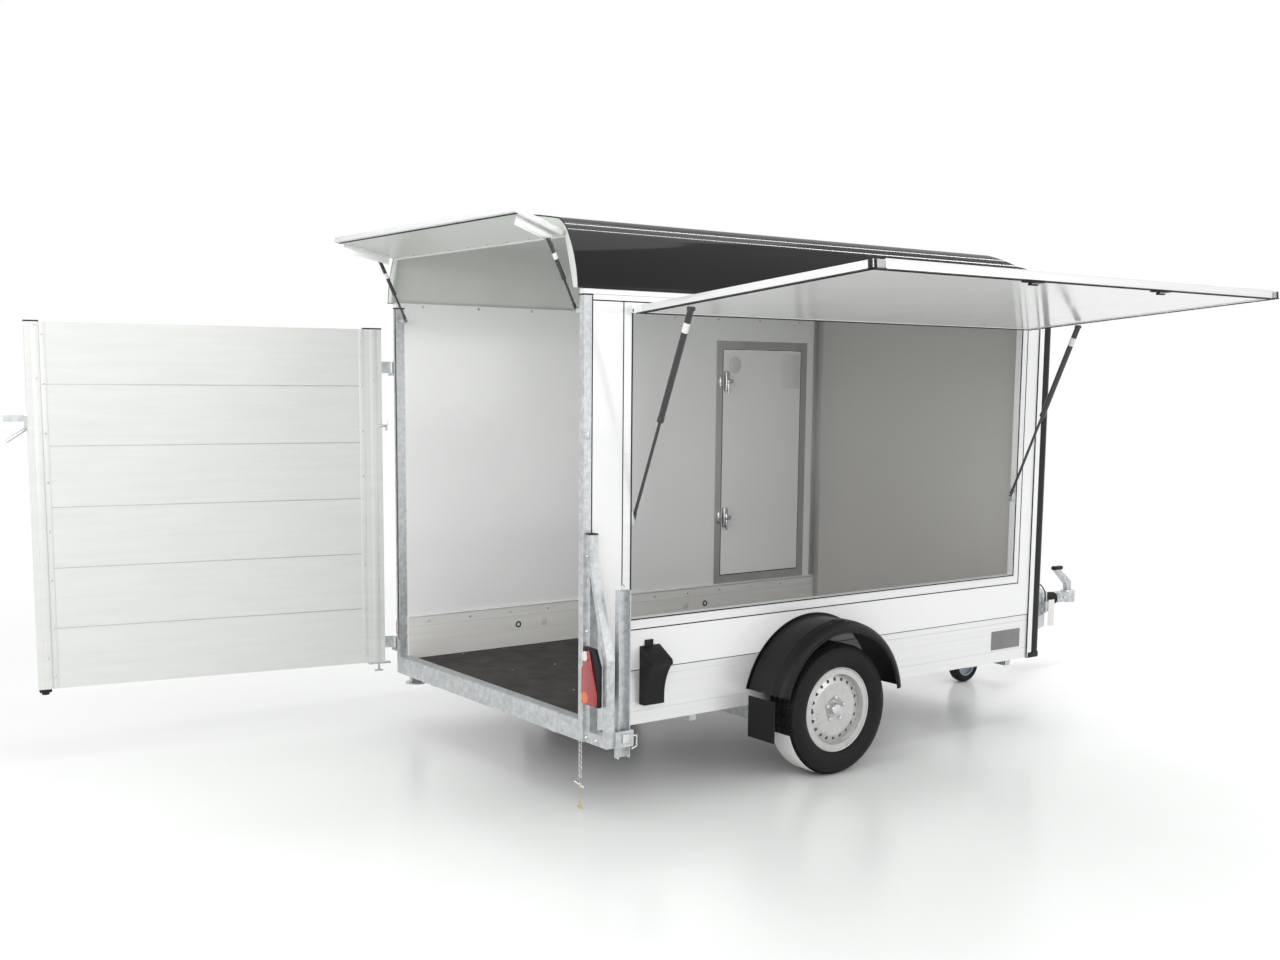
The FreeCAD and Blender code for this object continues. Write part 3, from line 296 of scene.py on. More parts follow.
def slab(low, high, soft=0.0008, segments=2):
    """A rectangular bar or plate between two corners, with rounded edges."""
    low, high = Vector(low), Vector(high)
    bpy.ops.object.select_all(action="DESELECT")
    bpy.ops.mesh.primitive_cube_add(size=1, location=(low + high) / 2)
    piece = bpy.context.object
    piece.scale = high - low
    bpy.ops.object.transform_apply(location=False, rotation=False, scale=True)
    soften(piece, soft, segments)
    return piece


def rod(start, end, radius, soft=0.0006, sides=24):
    """A round bar between two points, with rounded ends."""
    start, end = Vector(start), Vector(end)
    along = end - start
    bpy.ops.object.select_all(action="DESELECT")
    bpy.ops.mesh.primitive_cylinder_add(vertices=sides, radius=radius, depth=along.length,
                                        location=(start + end) / 2)
    piece = bpy.context.object
    piece.rotation_mode = "QUATERNION"
    piece.rotation_quaternion = along.to_track_quat("Z", "Y")
    soften(piece, soft)
    return piece


def join(pieces):
    """One mesh from several."""
    bpy.ops.object.select_all(action="DESELECT")
    for piece in pieces:
        piece.select_set(True)
    bpy.context.view_layer.objects.active = pieces[0]
    bpy.ops.object.join()
    return bpy.context.view_layer.objects.active


def copies(piece, places):
    """The piece once at each place, joined, each from its own mesh."""
    made = []
    for place in places:
        twin = piece.copy()
        twin.data = piece.data.copy()
        bpy.context.scene.collection.objects.link(twin)
        twin.matrix_world = place @ piece.matrix_world
        made.append(twin)
    bpy.data.objects.remove(piece)
    return join(made)


def shift(x=0.0, y=0.0, z=0.0):
    return Matrix.Translation((x, y, z))


wall = [Vector(corner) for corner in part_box("side_wall_right")]
ring = [Vector(corner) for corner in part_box("hatch_frame")]
rails = [Vector(corner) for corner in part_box("top_rails")]
outside = wall[0].y
LINE = 0.005
PROUD = 0.0012


def line_on_side(name, low, high, side):
    """A seal line on the outside of a side wall."""
    y = sorted((side * abs(outside), side * (abs(outside) + PROUD)))
    piece = slab((low[0], y[0], low[1]), (high[0], y[1], high[1]), 0.0003, 1)
    return piece


right_lines = [
    line_on_side("top", (wall[0].x, wall[1].z - LINE), (wall[1].x, wall[1].z), -1),
    line_on_side("low", (ring[0].x, ring[0].z - LINE), (ring[1].x, ring[0].z), -1),
    line_on_side("rear", (ring[0].x - LINE, ring[0].z - LINE), (ring[0].x, wall[1].z), -1),
    line_on_side("front", (ring[1].x, ring[0].z - LINE), (ring[1].x + LINE, wall[1].z), -1),
    line_on_side("post", (wall[0].x - LINE, wall[0].z), (wall[0].x, wall[1].z + 0.016), -1),
    line_on_side("sill", (wall[0].x, wall[0].z - 0.002), (wall[1].x, wall[0].z + 0.001), -1),
]
settle(join(right_lines), "seal_lines_right", "root", seal_black)
door_ring = [Vector(corner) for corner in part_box("side_door_frame")]
left_lines = [
    line_on_side("top", (wall[0].x, wall[1].z - LINE), (wall[1].x, wall[1].z), 1),
    line_on_side("sill", (wall[0].x, wall[0].z - 0.002), (wall[1].x, wall[0].z + 0.001), 1),
    line_on_side("post", (wall[0].x - LINE, wall[0].z), (wall[0].x, wall[1].z + 0.016), 1),
    line_on_side("rear", (door_ring[0].x - LINE, door_ring[0].z), (door_ring[0].x, door_ring[1].z),
                 1),
    line_on_side("front", (door_ring[1].x, door_ring[0].z), (door_ring[1].x + LINE, door_ring[1].z),
                 1),
    line_on_side("head", (door_ring[0].x - LINE, door_ring[1].z),
                 (door_ring[1].x + LINE, door_ring[1].z + LINE), 1),
    line_on_side("foot", (door_ring[0].x - LINE, door_ring[0].z - LINE),
                 (door_ring[1].x + LINE, door_ring[0].z), 1),
]
settle(join(left_lines), "seal_lines_left", "root", seal_black)

# ---------------------------------------------------------------- aluminium
# Sill boards, kick boards, door boards and the frames round hatch and side
# door are extruded aluminium, anodised a pale matt silver with drawn lines.
anodised = finish_of("anodised_aluminium", (0.83, 0.835, 0.83), (0.77, 0.775, 0.775), grain=9,
                     rough=(0.28, 0.38), metal=0.35, stretch=(0.05, 1, 6), dent=0.10,
                     dent_grain=60)
board_finish = finish_of("door_board_anodised", (0.70, 0.71, 0.69), (0.66, 0.67, 0.65),
                         grain=7, rough=(0.34, 0.46), metal=0.2, stretch=(0.4, 0.4, 5),
                         dent=0.12, dent_grain=50)
frame_grey = finish_of("frame_grey", (0.50, 0.50, 0.49), (0.44, 0.44, 0.43), grain=9,
                       rough=(0.35, 0.45), metal=0.5, stretch=(1, 1, 0.1), dent=0.1,
                       dent_grain=80)
dress(anodised, "sill_boards", "hatch_frame")
dress(board_finish, "rear_door_boards", "rear_door_posts")
kick_finish = finish_of("kick_board_anodised", (0.84, 0.83, 0.80), (0.78, 0.77, 0.74), grain=7,
                        rough=(0.32, 0.44), metal=0.05, stretch=(0.3, 1, 6), dent=0.08,
                        dent_grain=60)
dress(kick_finish, "kick_boards")
dress(frame_grey, "side_door_frame")

# ---------------------------------------------------------------- roof
# The roof is one moulded glass-fibre shell with a polished black gelcoat,
# glued on the top rails over a black bead.
gelcoat = finish_of("black_gelcoat", (0.006, 0.006, 0.006), (0.004, 0.004, 0.004), grain=1.2,
                    rough=(0.05, 0.08), dent=0.04, dent_grain=3, gloss=0.28)
dress(gelcoat, "roof")
beads = [slab((rails[0].x - 0.03, side * 0.8712 - 0.0015, rails[1].z - 0.003),
              (rails[1].x, side * 0.8712 + 0.0015, rails[1].z + 0.006), 0.0006)
         for side in (1, -1)]
settle(join(beads), "roof_bead", "root", seal_black)

# ---------------------------------------------------------------- top rails
# White extruded rails that carry the roof. A step runs along the outer face
# and a row of countersunk screws along the inner one.
steel = finish_of("bright_steel", (0.72, 0.72, 0.73), (0.60, 0.60, 0.61), grain=60,
                  rough=(0.18, 0.30), metal=1.0)


def screw(radius, height):
    """A pan-head screw standing on the ground of its own axes, facing +Z."""
    bpy.ops.object.select_all(action="DESELECT")
    bpy.ops.mesh.primitive_cylinder_add(vertices=12, radius=radius, depth=height,
                                        location=(0, 0, height / 2))
    head = bpy.context.object
    bpy.ops.object.mode_set(mode="EDIT")
    bpy.ops.mesh.select_all(action="DESELECT")
    bpy.ops.object.mode_set(mode="OBJECT")
    for face in head.data.polygons:
        face.select = face.normal.z > 0.9
    bpy.ops.object.mode_set(mode="EDIT")
    bpy.ops.mesh.inset(thickness=radius * 0.35)
    bpy.ops.transform.translate(value=(0, 0, height * 0.5))
    bpy.ops.mesh.inset(thickness=radius * 0.30)
    bpy.ops.transform.translate(value=(0, 0, -height * 0.6))
    bpy.ops.object.mode_set(mode="OBJECT")
    head.data.transform(head.matrix_world)
    head.matrix_world = Matrix.Identity(4)
    bpy.ops.object.shade_smooth_by_angle(angle=math.radians(40))
    return head


FACING = {
    "+X": Matrix.Rotation(math.pi / 2, 4, "Y"), "-X": Matrix.Rotation(-math.pi / 2, 4, "Y"),
    "+Y": Matrix.Rotation(-math.pi / 2, 4, "X"), "-Y": Matrix.Rotation(math.pi / 2, 4, "X"),
    "+Z": Matrix.Identity(4), "-Z": Matrix.Rotation(math.pi, 4, "X"),
}


def spots(facing, points):
    """Places for a screw, facing one way, at several points."""
    return [Matrix.Translation(point) @ FACING[facing] for point in points]


inside = abs(outside) - 0.035
steps = [slab((rails[0].x + 0.046, side * 0.8700 - 0.001, rails[0].z + 0.021),
              (rails[1].x, side * 0.8700 + 0.001, rails[0].z + 0.0235), 0.0004)
         for side in (1, -1)]
settle(join(steps), "rail_step_lines", "root", frame_grey)
rail_screws = []
for side, facing in ((1, "-Y"), (-1, "+Y")):
    rail_screws += spots(facing, [Vector((rails[0].x + 0.15 + 0.33 * count, side * inside,
                                          rails[0].z + 0.032)) for count in range(9)])
settle(copies(screw(0.0065, 0.0025), rail_screws), "rail_screws", "root", steel)

# ---------------------------------------------------------------- rear posts
# Galvanised channels with black plastic caps and a column of lashing slots.
cap_black = finish_of("cap_black", (0.012, 0.012, 0.013), (0.006, 0.006, 0.007), grain=60,
                      rough=(0.45, 0.6), dent=0.3, dent_grain=700, gloss=0.3)
posts = [Vector(corner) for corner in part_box("rear_posts")]
post_caps = []
for side in (1, -1):
    low_y, high_y = sorted((side * inside, side * abs(outside)))
    post_caps.append(slab((posts[0].x - 0.002, low_y - 0.002, posts[1].z - 0.001),
                          (posts[1].x + 0.002, high_y + 0.002, posts[1].z + 0.0055), 0.0015))
settle(join(post_caps), "rear_post_caps", "root", cap_black)
slot_count = 26
slot_places = []
for count in range(slot_count):
    slot_places += [shift(REAR - 0.0004, -0.8525, GROUND + 0.47 + 0.0645 * count),
                    shift(REAR - 0.0004, 0.8620, GROUND + 0.47 + 0.0645 * count)]
slot_mark = slab((0, -0.0035, -0.012), (0.0008, 0.0035, 0.012), 0.0003)
settle(copies(slot_mark, slot_places), "post_slots", "root", frame_grey)
channel = slab((REAR - 0.0006, 0.8440, posts[0].z + 0.09), (REAR + 0.0006, 0.8540, posts[1].z),
               0.0003)
settle(channel, "left_post_channel", "root", seal_black)

# ---------------------------------------------------------------- lamp carriers
# Welded tube frames; the inner tube's top end has a black plug, and two bolts
# hold each foot to the rear beam.
carriers = [Vector(corner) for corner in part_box("lamp_carriers")]
carrier_low = {-1: REAR + 0.012, 1: REAR + 0.090}
plugs = []
for side in (1, -1):
    x = carrier_low[side]
    low_y, high_y = sorted((side * abs(outside), side * (abs(outside) + 0.035)))
    plugs.append(slab((x - 0.001, low_y - 0.001, carriers[1].z - 0.001),
                      (x + 0.041, high_y + 0.001, carriers[1].z + 0.005), 0.0012))
settle(join(plugs), "carrier_plugs", "root", cap_black)
bolts = []
for side in (1, -1):
    x = carrier_low[side]
    bolts += spots("-X", [Vector((x, side * y, GROUND + z)) for y, z in
                          ((0.888, 0.338), (0.960, 0.338), (0.888, 0.80), (0.888, 1.12))])
settle(copies(screw(0.008, 0.006), bolts), "carrier_bolts", "root", steel)

# ---------------------------------------------------------------- tail lamps
# Three-chamber lamps: a black housing, a red triangular lens, a white round
# lamp at the top and an orange round one at the foot.
lens_red = finish_of("lens_red", (0.42, 0.008, 0.010), (0.20, 0.002, 0.003), grain=180,
                     rough=(0.05, 0.12), coat=0.8, dent=0.8, dent_grain=420)
lens_white = finish_of("lens_white", (0.80, 0.78, 0.77), (0.60, 0.58, 0.58), grain=300,
                       rough=(0.06, 0.12), coat=0.9, dent=0.5, dent_grain=500)
lens_orange = finish_of("lens_orange", (0.80, 0.16, 0.008), (0.55, 0.08, 0.004), grain=300,
                        rough=(0.06, 0.12), coat=0.9, dent=0.5, dent_grain=500)
lamps = [Vector(corner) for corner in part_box("tail_lamps")]
LAMP_DEEP = 0.035


def lamp_shape(x0, x1, side, inset, soft):
    """A three-sided lamp outline, cut from a block by a slanted plane."""
    y_in, y_out = 0.882 + inset, 1.000 - inset
    z0, z1 = GROUND + 0.486 + inset, GROUND + 0.735 - inset
    low_y, high_y = sorted((side * y_in, side * y_out))
    bpy.ops.object.select_all(action="DESELECT")
    bpy.ops.mesh.primitive_cube_add(size=1, location=((x0 + x1) / 2, (low_y + high_y) / 2,
                                                      (z0 + z1) / 2))
    piece = bpy.context.object
    piece.scale = (x1 - x0, high_y - low_y, z1 - z0)
    bpy.ops.object.transform_apply(location=True, rotation=False, scale=True)
    slope = Vector((0, side * 0.100, 0.045)).normalized()
    bpy.ops.object.mode_set(mode="EDIT")
    bpy.ops.mesh.select_all(action="SELECT")
    corner = Vector((0, side * 1.000, GROUND + 0.660)) - slope * inset
    bpy.ops.mesh.bisect(plane_co=corner, plane_no=slope, use_fill=True, clear_outer=True)
    bpy.ops.object.mode_set(mode="OBJECT")
    soften(piece, soft, 4)
    return piece


def red_lens_shape(x0, x1, side):
    """A triangular lens, narrow at the top and as wide as the housing at its foot."""
    low_y, high_y = sorted((side * 0.887, side * 0.996))
    bpy.ops.object.select_all(action="DESELECT")
    bpy.ops.mesh.primitive_cube_add(size=1, location=((x0 + x1) / 2, (low_y + high_y) / 2,
                                                      GROUND + 0.609))
    piece = bpy.context.object
    piece.scale = (x1 - x0, high_y - low_y, 0.234)
    bpy.ops.object.transform_apply(location=True, rotation=False, scale=True)
    bpy.ops.object.mode_set(mode="EDIT")
    for point, slope in ((Vector((0, side * 0.944, GROUND + 0.722)), (0.218, 0.066)),
                         (Vector((0, side * 0.887, GROUND + 0.640)), (-0.082, 0.044))):
        bpy.ops.mesh.select_all(action="SELECT")
        plane = Vector((0, side * slope[0], slope[1])).normalized()
        bpy.ops.mesh.bisect(plane_co=point, plane_no=plane, use_fill=True, clear_outer=True)
    bpy.ops.object.mode_set(mode="OBJECT")
    soften(piece, 0.005, 4)
    return piece


def round_lens(x0, x1, y, z, radius):
    lens = rod((x1, y, z), (x0, y, z), radius, 0.004, 40)
    return lens


housings, reds, whites, oranges = [], [], [], []
for side in (1, -1):
    face = carrier_low[side] - LAMP_DEEP
    housings.append(lamp_shape(face + 0.011, carrier_low[side], side, 0.0, 0.007))
    reds.append(red_lens_shape(face + 0.001, face + 0.013, side))
    whites.append(round_lens(face, face + 0.014, side * 0.912, GROUND + 0.697, 0.0225))
    oranges.append(round_lens(face, face + 0.014, side * 0.915, GROUND + 0.520, 0.0265))
settle(join(housings), "lamp_housings", "root", cap_black)
red_lens = settle(join(reds), "lamp_lenses", "root", lens_red)
settle(join(whites), "lamp_reverse_lenses", "root", lens_white)
settle(join(oranges), "lamp_turn_lenses", "root", lens_orange)
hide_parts("tail_lamps")

# ---------------------------------------------------------------- prop stands
# Galvanised channels with a ring on top. A screw with a hooked handle pinches
# each one in its clamp, and the left one stands on a round foot.
stands = {1: [Vector(c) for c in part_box("prop_stand_left")],
          -1: [Vector(c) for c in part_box("prop_stand_right")]}
clamp_screws = []
for side in (1, -1):
    middle = (stands[side][0].x + stands[side][1].x) / 2
    top = stands[side][1].z
    bpy.ops.object.select_all(action="DESELECT")
    bpy.ops.mesh.primitive_torus_add(major_radius=0.013, minor_radius=0.002,
                                     major_segments=28, minor_segments=8,
                                     location=(middle, side * 1.014, top + 0.010),
                                     rotation=(math.pi / 2, 0, 0.5))
    eye = bpy.context.object
    bpy.ops.object.shade_smooth()
    name = "left" if side > 0 else "right"
    settle(eye, f"stand_ring_{name}", f"stand_{name}", steel)
    y = side * 1.045
    front = middle + 0.042
    z = GROUND + 0.350
    clamp_screws += [
        rod((front, side * 1.016, z), (front + 0.034, side * 1.016, z), 0.005),
        rod((front + 0.034, side * 1.016, z + 0.004), (front + 0.034, side * 1.016, z - 0.050),
            0.004),
        rod((front + 0.034, side * 1.016, z - 0.048), (front + 0.006, side * 1.016, z - 0.056),
            0.004),
        slab((middle - 0.02, min(y, y + side * 0.004), z - 0.02),
             (middle + 0.02, max(y, y + side * 0.004), z + 0.02), 0.001)]
settle(join(clamp_screws), "stand_clamp_screws", "root", steel)

# ---------------------------------------------------------------- pin on a chain
# A locking pin for the ramp hangs from the rear beam on a light steel chain
# with a split ring, a T-shaped pin and a brass peg.
brass = finish_of("brass", (0.72, 0.52, 0.20), (0.55, 0.38, 0.13), grain=60, rough=(0.25, 0.4),
                  metal=1.0)
LINK, WIRE, LINKS = 0.0078, 0.0018, 13
pin_x, pin_y = REAR + 0.022, -0.820
beam_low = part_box("rear_beam")[0][2]
links = []
for count in range(LINKS):
    bpy.ops.object.select_all(action="DESELECT")
    bpy.ops.mesh.primitive_torus_add(
        major_radius=LINK, minor_radius=WIRE, major_segments=16, minor_segments=6,
        location=(pin_x, pin_y, beam_low - 0.003 - count * (LINK * 2 - WIRE * 2.2)),
        rotation=(math.pi / 2, 0, math.pi / 2 * (count % 2) + 0.3))
    links.append(bpy.context.object)
    bpy.ops.object.shade_smooth()
chain_end = beam_low - 0.003 - (LINKS - 1) * (LINK * 2 - WIRE * 2.2) - LINK
bpy.ops.mesh.primitive_torus_add(major_radius=0.018, minor_radius=0.0020, major_segments=32,
                                 minor_segments=6, location=(pin_x, pin_y, chain_end - 0.014),
                                 rotation=(math.pi / 2, 0, 0.7))
links.append(bpy.context.object)
bpy.ops.object.shade_smooth()
links.append(rod((pin_x - 0.020, pin_y + 0.014, chain_end - 0.036),
                 (pin_x + 0.012, pin_y - 0.010, chain_end - 0.066), 0.0055))
links.append(rod((pin_x - 0.010, pin_y - 0.016, chain_end - 0.040),
                 (pin_x + 0.004, pin_y + 0.020, chain_end - 0.052), 0.003))
settle(join(links), "pin_chain", "root", steel)
peg = join([rod((pin_x + 0.002, pin_y, chain_end - 0.058), (pin_x + 0.001, pin_y, GROUND + 0.022),
                0.0014),
            rod((pin_x, pin_y + 0.018, GROUND + 0.010), (pin_x + 0.002, pin_y - 0.012,
                                                         GROUND + 0.014), 0.0032),
            rod((pin_x + 0.001, pin_y, GROUND + 0.012), (pin_x + 0.001, pin_y, GROUND + 0.026),
                0.004)])
settle(peg, "brass_peg", "root", brass)

# ---------------------------------------------------------------- plastics
# Fenders, chock holders, levers and corner posts are black moulded plastic
# with a fine grain; mudflaps are rubber sheet.
grained = finish_of("black_plastic", (0.010, 0.010, 0.011), (0.005, 0.005, 0.0055), grain=60,
                    rough=(0.32, 0.46), dent=0.35, dent_grain=900, gloss=0.22)
dress(grained, "fender_left", "fender_right", "wheel_chocks", "front_corner_posts", "mudflaps",
      "electric_lead")

AXLE_X = REAR + 1.330
AXLE_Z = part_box("tyre_right")[0][2] + 0.3145


def spun(name, profile, centre, start, angle, steps, side=1, closed=True):
    """Turn a profile of (radius, distance left) about a crosswise line."""
    mesh = bpy.data.meshes.new(name)
    count = len(profile)
    points = [(centre[0], side * out, centre[1] + radius) for radius, out in profile]
    edges = [(n, (n + 1) % count) for n in range(count if closed else count - 1)]
    mesh.from_pydata(points, edges, [])
    piece = bpy.data.objects.new(name, mesh)
    bpy.context.scene.collection.objects.link(piece)
    pick(piece)
    middle = (centre[0], 0, centre[1])
    bpy.ops.object.mode_set(mode="EDIT")
    bpy.ops.mesh.select_all(action="SELECT")
    if start:
        bpy.ops.transform.rotate(value=-start, orient_axis="Y", center_override=middle)
    if closed and abs(angle) < 2 * math.pi - 0.01:
        bpy.ops.mesh.edge_face_add()
    bpy.ops.mesh.spin(steps=steps, angle=-angle, center=middle, axis=(0, 1, 0))
    bpy.ops.mesh.select_all(action="SELECT")
    bpy.ops.mesh.remove_doubles(threshold=0.00002)
    bpy.ops.mesh.normals_make_consistent(inside=False)
    bpy.ops.object.mode_set(mode="OBJECT")
    bpy.ops.object.shade_smooth_by_angle(angle=math.radians(35))
    return piece

# ---------------------------------------------------------------- wheels
# Radial tyres with a blocked tread on pressed steel rims in silver paint,
# each held by five bolts round a small hub cap; the drums are cast.
rubber = finish_of("tyre_rubber", (0.013, 0.013, 0.013), (0.007, 0.007, 0.007), grain=25,
                   rough=(0.50, 0.70), dent=0.3, dent_grain=500, gloss=0.2)
silver = finish_of("silver_paint", (0.60, 0.60, 0.59), (0.52, 0.52, 0.51), grain=12,
                   rough=(0.26, 0.36), metal=0.5, dent=0.05, dent_grain=200)
iron = finish_of("cast_iron", (0.14, 0.135, 0.13), (0.08, 0.075, 0.07), grain=50,
                 rough=(0.6, 0.8), metal=0.7, dent=0.5, dent_grain=300)
dress(silver, "rim_left", "rim_right")
dress(iron, "brake_drum_left", "brake_drum_right")

TYRE_MID = 0.990
TYRE_STEPS = 108
TREAD = 0.0065
OUTER = 0.3145
groove_lines = (-0.052, -0.018, 0.018, 0.052)
half_profile = [(0.196, 0.0615), (0.203, 0.070), (0.214, 0.083), (0.235, 0.094), (0.254, 0.0972),
                (0.272, 0.0955), (0.288, 0.089), (0.300, 0.080), (0.3075, 0.071)]


def tyre_profile():
    """The tyre's section from one bead over the tread to the other."""
    tread = []
    for line in reversed(groove_lines):
        tread += [(OUTER - 0.0003, line + 0.005), (OUTER - TREAD, line + 0.004),
                  (OUTER - TREAD, line - 0.004), (OUTER - 0.0003, line - 0.005)]
    up = [(radius, TYRE_MID + out) for radius, out in half_profile]
    over = [(radius, TYRE_MID + out) for radius, out in tread]
    down = [(radius, TYRE_MID - out) for radius, out in reversed(half_profile)]
    seat = [(0.1785, TYRE_MID - 0.0585), (0.1785, TYRE_MID + 0.0585)]
    return up + over + down + seat


def tyre(name, side):
    piece = spun(name, tyre_profile(), (AXLE_X, AXLE_Z), 0, 2 * math.pi, TYRE_STEPS, side)
    pick(piece)
    bpy.ops.object.mode_set(mode="EDIT")
    bpy.ops.mesh.select_all(action="DESELECT")
    bpy.ops.object.mode_set(mode="OBJECT")
    for face in piece.data.polygons:
        middle = face.center
        away = math.hypot(middle.x - AXLE_X, middle.z - AXLE_Z)
        turn = math.atan2(middle.z - AXLE_Z, middle.x - AXLE_X) + math.pi
        index = round(turn / (2 * math.pi) * TYRE_STEPS)
        shoulder = abs(abs(middle.y) - TYRE_MID) > 0.056
        rib = away > OUTER - 0.003 and not shoulder and face.area > 0.0001
        face.select = (shoulder and away > 0.303 and index % 2 == 0) or (rib and index % 3 == 0)
    bpy.ops.object.mode_set(mode="EDIT")
    bpy.ops.mesh.inset(thickness=0.0022, depth=-0.0045, use_individual=True)
    bpy.ops.object.mode_set(mode="OBJECT")
    bpy.ops.object.shade_smooth_by_angle(angle=math.radians(28))
    return piece


cap_profile = [(0.0, 1.060), (0.012, 1.060), (0.024, 1.0575), (0.028, 1.052), (0.030, 1.034),
               (0.028, 1.028), (0.0, 1.028)]
for side, name in ((1, "left"), (-1, "right")):
    body = f"wheel_{name}"
    made = settle(tyre(f"tread_tyre_{name}", side), f"tread_tyre_{name}", body, rubber)
    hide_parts(f"tyre_{name}")
    cap = spun("hub_cap", [(radius + 0.0001, out) for radius, out in cap_profile],
               (AXLE_X, AXLE_Z), 0, 2 * math.pi, 32, side)
    settle(cap, f"hub_cap_{name}", body, steel)
    facing = "+Y" if side > 0 else "-Y"
    places = []
    for count in range(5):
        turn = 2 * math.pi * count / 5 + 0.3
        places.append(Vector((AXLE_X + 0.056 * math.cos(turn), side * 1.0405,
                              AXLE_Z + 0.056 * math.sin(turn))))
    bpy.ops.object.select_all(action="DESELECT")
    bpy.ops.mesh.primitive_cylinder_add(vertices=6, radius=0.0105, depth=0.012,
                                        location=(0, 0, 0.006))
    bolt = bpy.context.object
    soften(bolt, 0.0014, 2, 20)
    settle(copies(bolt, spots(facing, places)), f"wheel_bolts_{name}", body, steel)
    bead = spun("bead", [(0.2005, 1.0525), (0.2030, 1.0565), (0.2045, 1.0605), (0.2015, 1.0635),
                         (0.1965, 1.0620), (0.1955, 1.0560)], (AXLE_X, AXLE_Z), 0, 2 * math.pi,
                72, side)
    settle(bead, f"rim_edge_{name}", body, silver)
    valve = rod((AXLE_X - 0.168, side * 1.030, AXLE_Z + 0.02),
                (AXLE_X - 0.164, side * 1.062, AXLE_Z + 0.02), 0.0045)
    settle(valve, f"valve_{name}", body, rubber)

# A blank white maker's label is still glued over the tread of the right tyre.
paper = finish_of("paper_white", (0.80, 0.79, 0.78), (0.70, 0.69, 0.69), grain=90,
                  rough=(0.45, 0.6), dent=0.2, dent_grain=300)
label = spun("tyre_label", [(OUTER + 0.0002, TYRE_MID - 0.060), (OUTER + 0.0002, TYRE_MID + 0.060),
                            (OUTER - 0.0015, TYRE_MID + 0.068), (OUTER - 0.004, TYRE_MID - 0.066)],
             (AXLE_X, AXLE_Z), math.radians(-154), math.radians(48), 24, -1)
settle(label, "tyre_label", "wheel_right", paper)

# ---------------------------------------------------------------- fender trims
# Each fender is moulded with a rolled outer lip, two raised bands and a flange
# against the body; a small clip on its crown holds the mounting bracket.
FENDER_Z = GROUND + 0.330
FENDER_R = 0.410
for side, name in ((1, "left"), (-1, "right")):
    start, sweep = math.radians(-76), math.radians(158)
    lip = spun("lip", [(FENDER_R - 0.052, 1.1060), (FENDER_R - 0.044, 1.1130),
                       (FENDER_R - 0.036, 1.1125), (FENDER_R - 0.034, 1.1075),
                       (FENDER_R - 0.046, 1.1000)],
               (AXLE_X, FENDER_Z), start, sweep, 60, side)
    bands = [spun("band", [(FENDER_R - 0.002, low), (FENDER_R + 0.0035, low + 0.004),
                           (FENDER_R + 0.0035, high - 0.004), (FENDER_R - 0.002, high)],
                  (AXLE_X, FENDER_Z), start, sweep, 60, side)
             for low, high in ((0.874, 0.898), (0.985, 1.046))]
    flange = spun("flange", [(FENDER_R - 0.004, 0.8708), (FENDER_R + 0.014, 0.8708),
                             (FENDER_R + 0.014, 0.8740), (FENDER_R - 0.004, 0.8740)],
                  (AXLE_X, FENDER_Z), start, sweep, 60, side)
    settle(join([lip, flange] + bands), f"fender_mouldings_{name}", "root", grained)
    low_y, high_y = sorted((side * 1.030, side * 1.066))
    clip = slab((AXLE_X - 0.030, low_y, FENDER_Z + FENDER_R - 0.006),
                (AXLE_X + 0.030, high_y, FENDER_Z + FENDER_R + 0.006), 0.003)
    settle(clip, f"fender_clip_{name}", "root", cap_black)

# ---------------------------------------------------------------- chock holders
# Each wedge chock sits in a holder screwed to the sill; a tongue with a hole
# stands over it and shallow ribs run down its face.
chocks = [Vector(corner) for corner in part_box("wheel_chocks")]
holder_bits = []
for side in (1, -1):
    low_y, high_y = sorted((side * 0.8705, side * 0.879))
    middle = (chocks[0].x + chocks[1].x) / 2
    holder_bits.append(slab((middle - 0.030, low_y, chocks[1].z - 0.012),
                            (middle + 0.016, high_y, chocks[1].z + 0.026), 0.004, 3))
    low_y, high_y = sorted((side * 0.871, side * 0.9665))
    for x in (chocks[0].x - 0.0015, chocks[1].x - 0.0025):
        rim = slab((x, low_y, GROUND + 0.622), (x + 0.004, high_y, GROUND + 0.640), 0.001)
        holder_bits.append(rim)
settle(join(holder_bits), "chock_holder_trims", "root", grained)

# ---------------------------------------------------------------- floor board
# The load floor is birch plywood with a dark brown phenolic film, pressed
# with a fine anti-slip pattern and screwed down round its edge.
phenolic = finish_of("phenolic_film", (0.024, 0.018, 0.017), (0.012, 0.009, 0.0085), grain=9,
                     rough=(0.42, 0.58), dent=0.5, dent_grain=700, gloss=0.25)
dress(phenolic, "floor_board")
board = [Vector(corner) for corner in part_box("floor_board")]
floor_screws = []
for count in range(12):
    x = board[0].x + 0.05 + count * (board[1].x - board[0].x - 0.1) / 11
    floor_screws += [Vector((x, y, board[1].z)) for y in (-0.79, -0.28, 0.28, 0.79)]
settle(copies(screw(0.0055, 0.0012), spots("+Z", floor_screws)), "floor_screws", "root", steel)
threshold = slab((REAR + 0.002, -0.834, board[1].z + 0.0005), (REAR + 0.060, 0.834,
                                                              board[1].z + 0.0165), 0.002)
settle(threshold, "rear_threshold", "root", zinc)

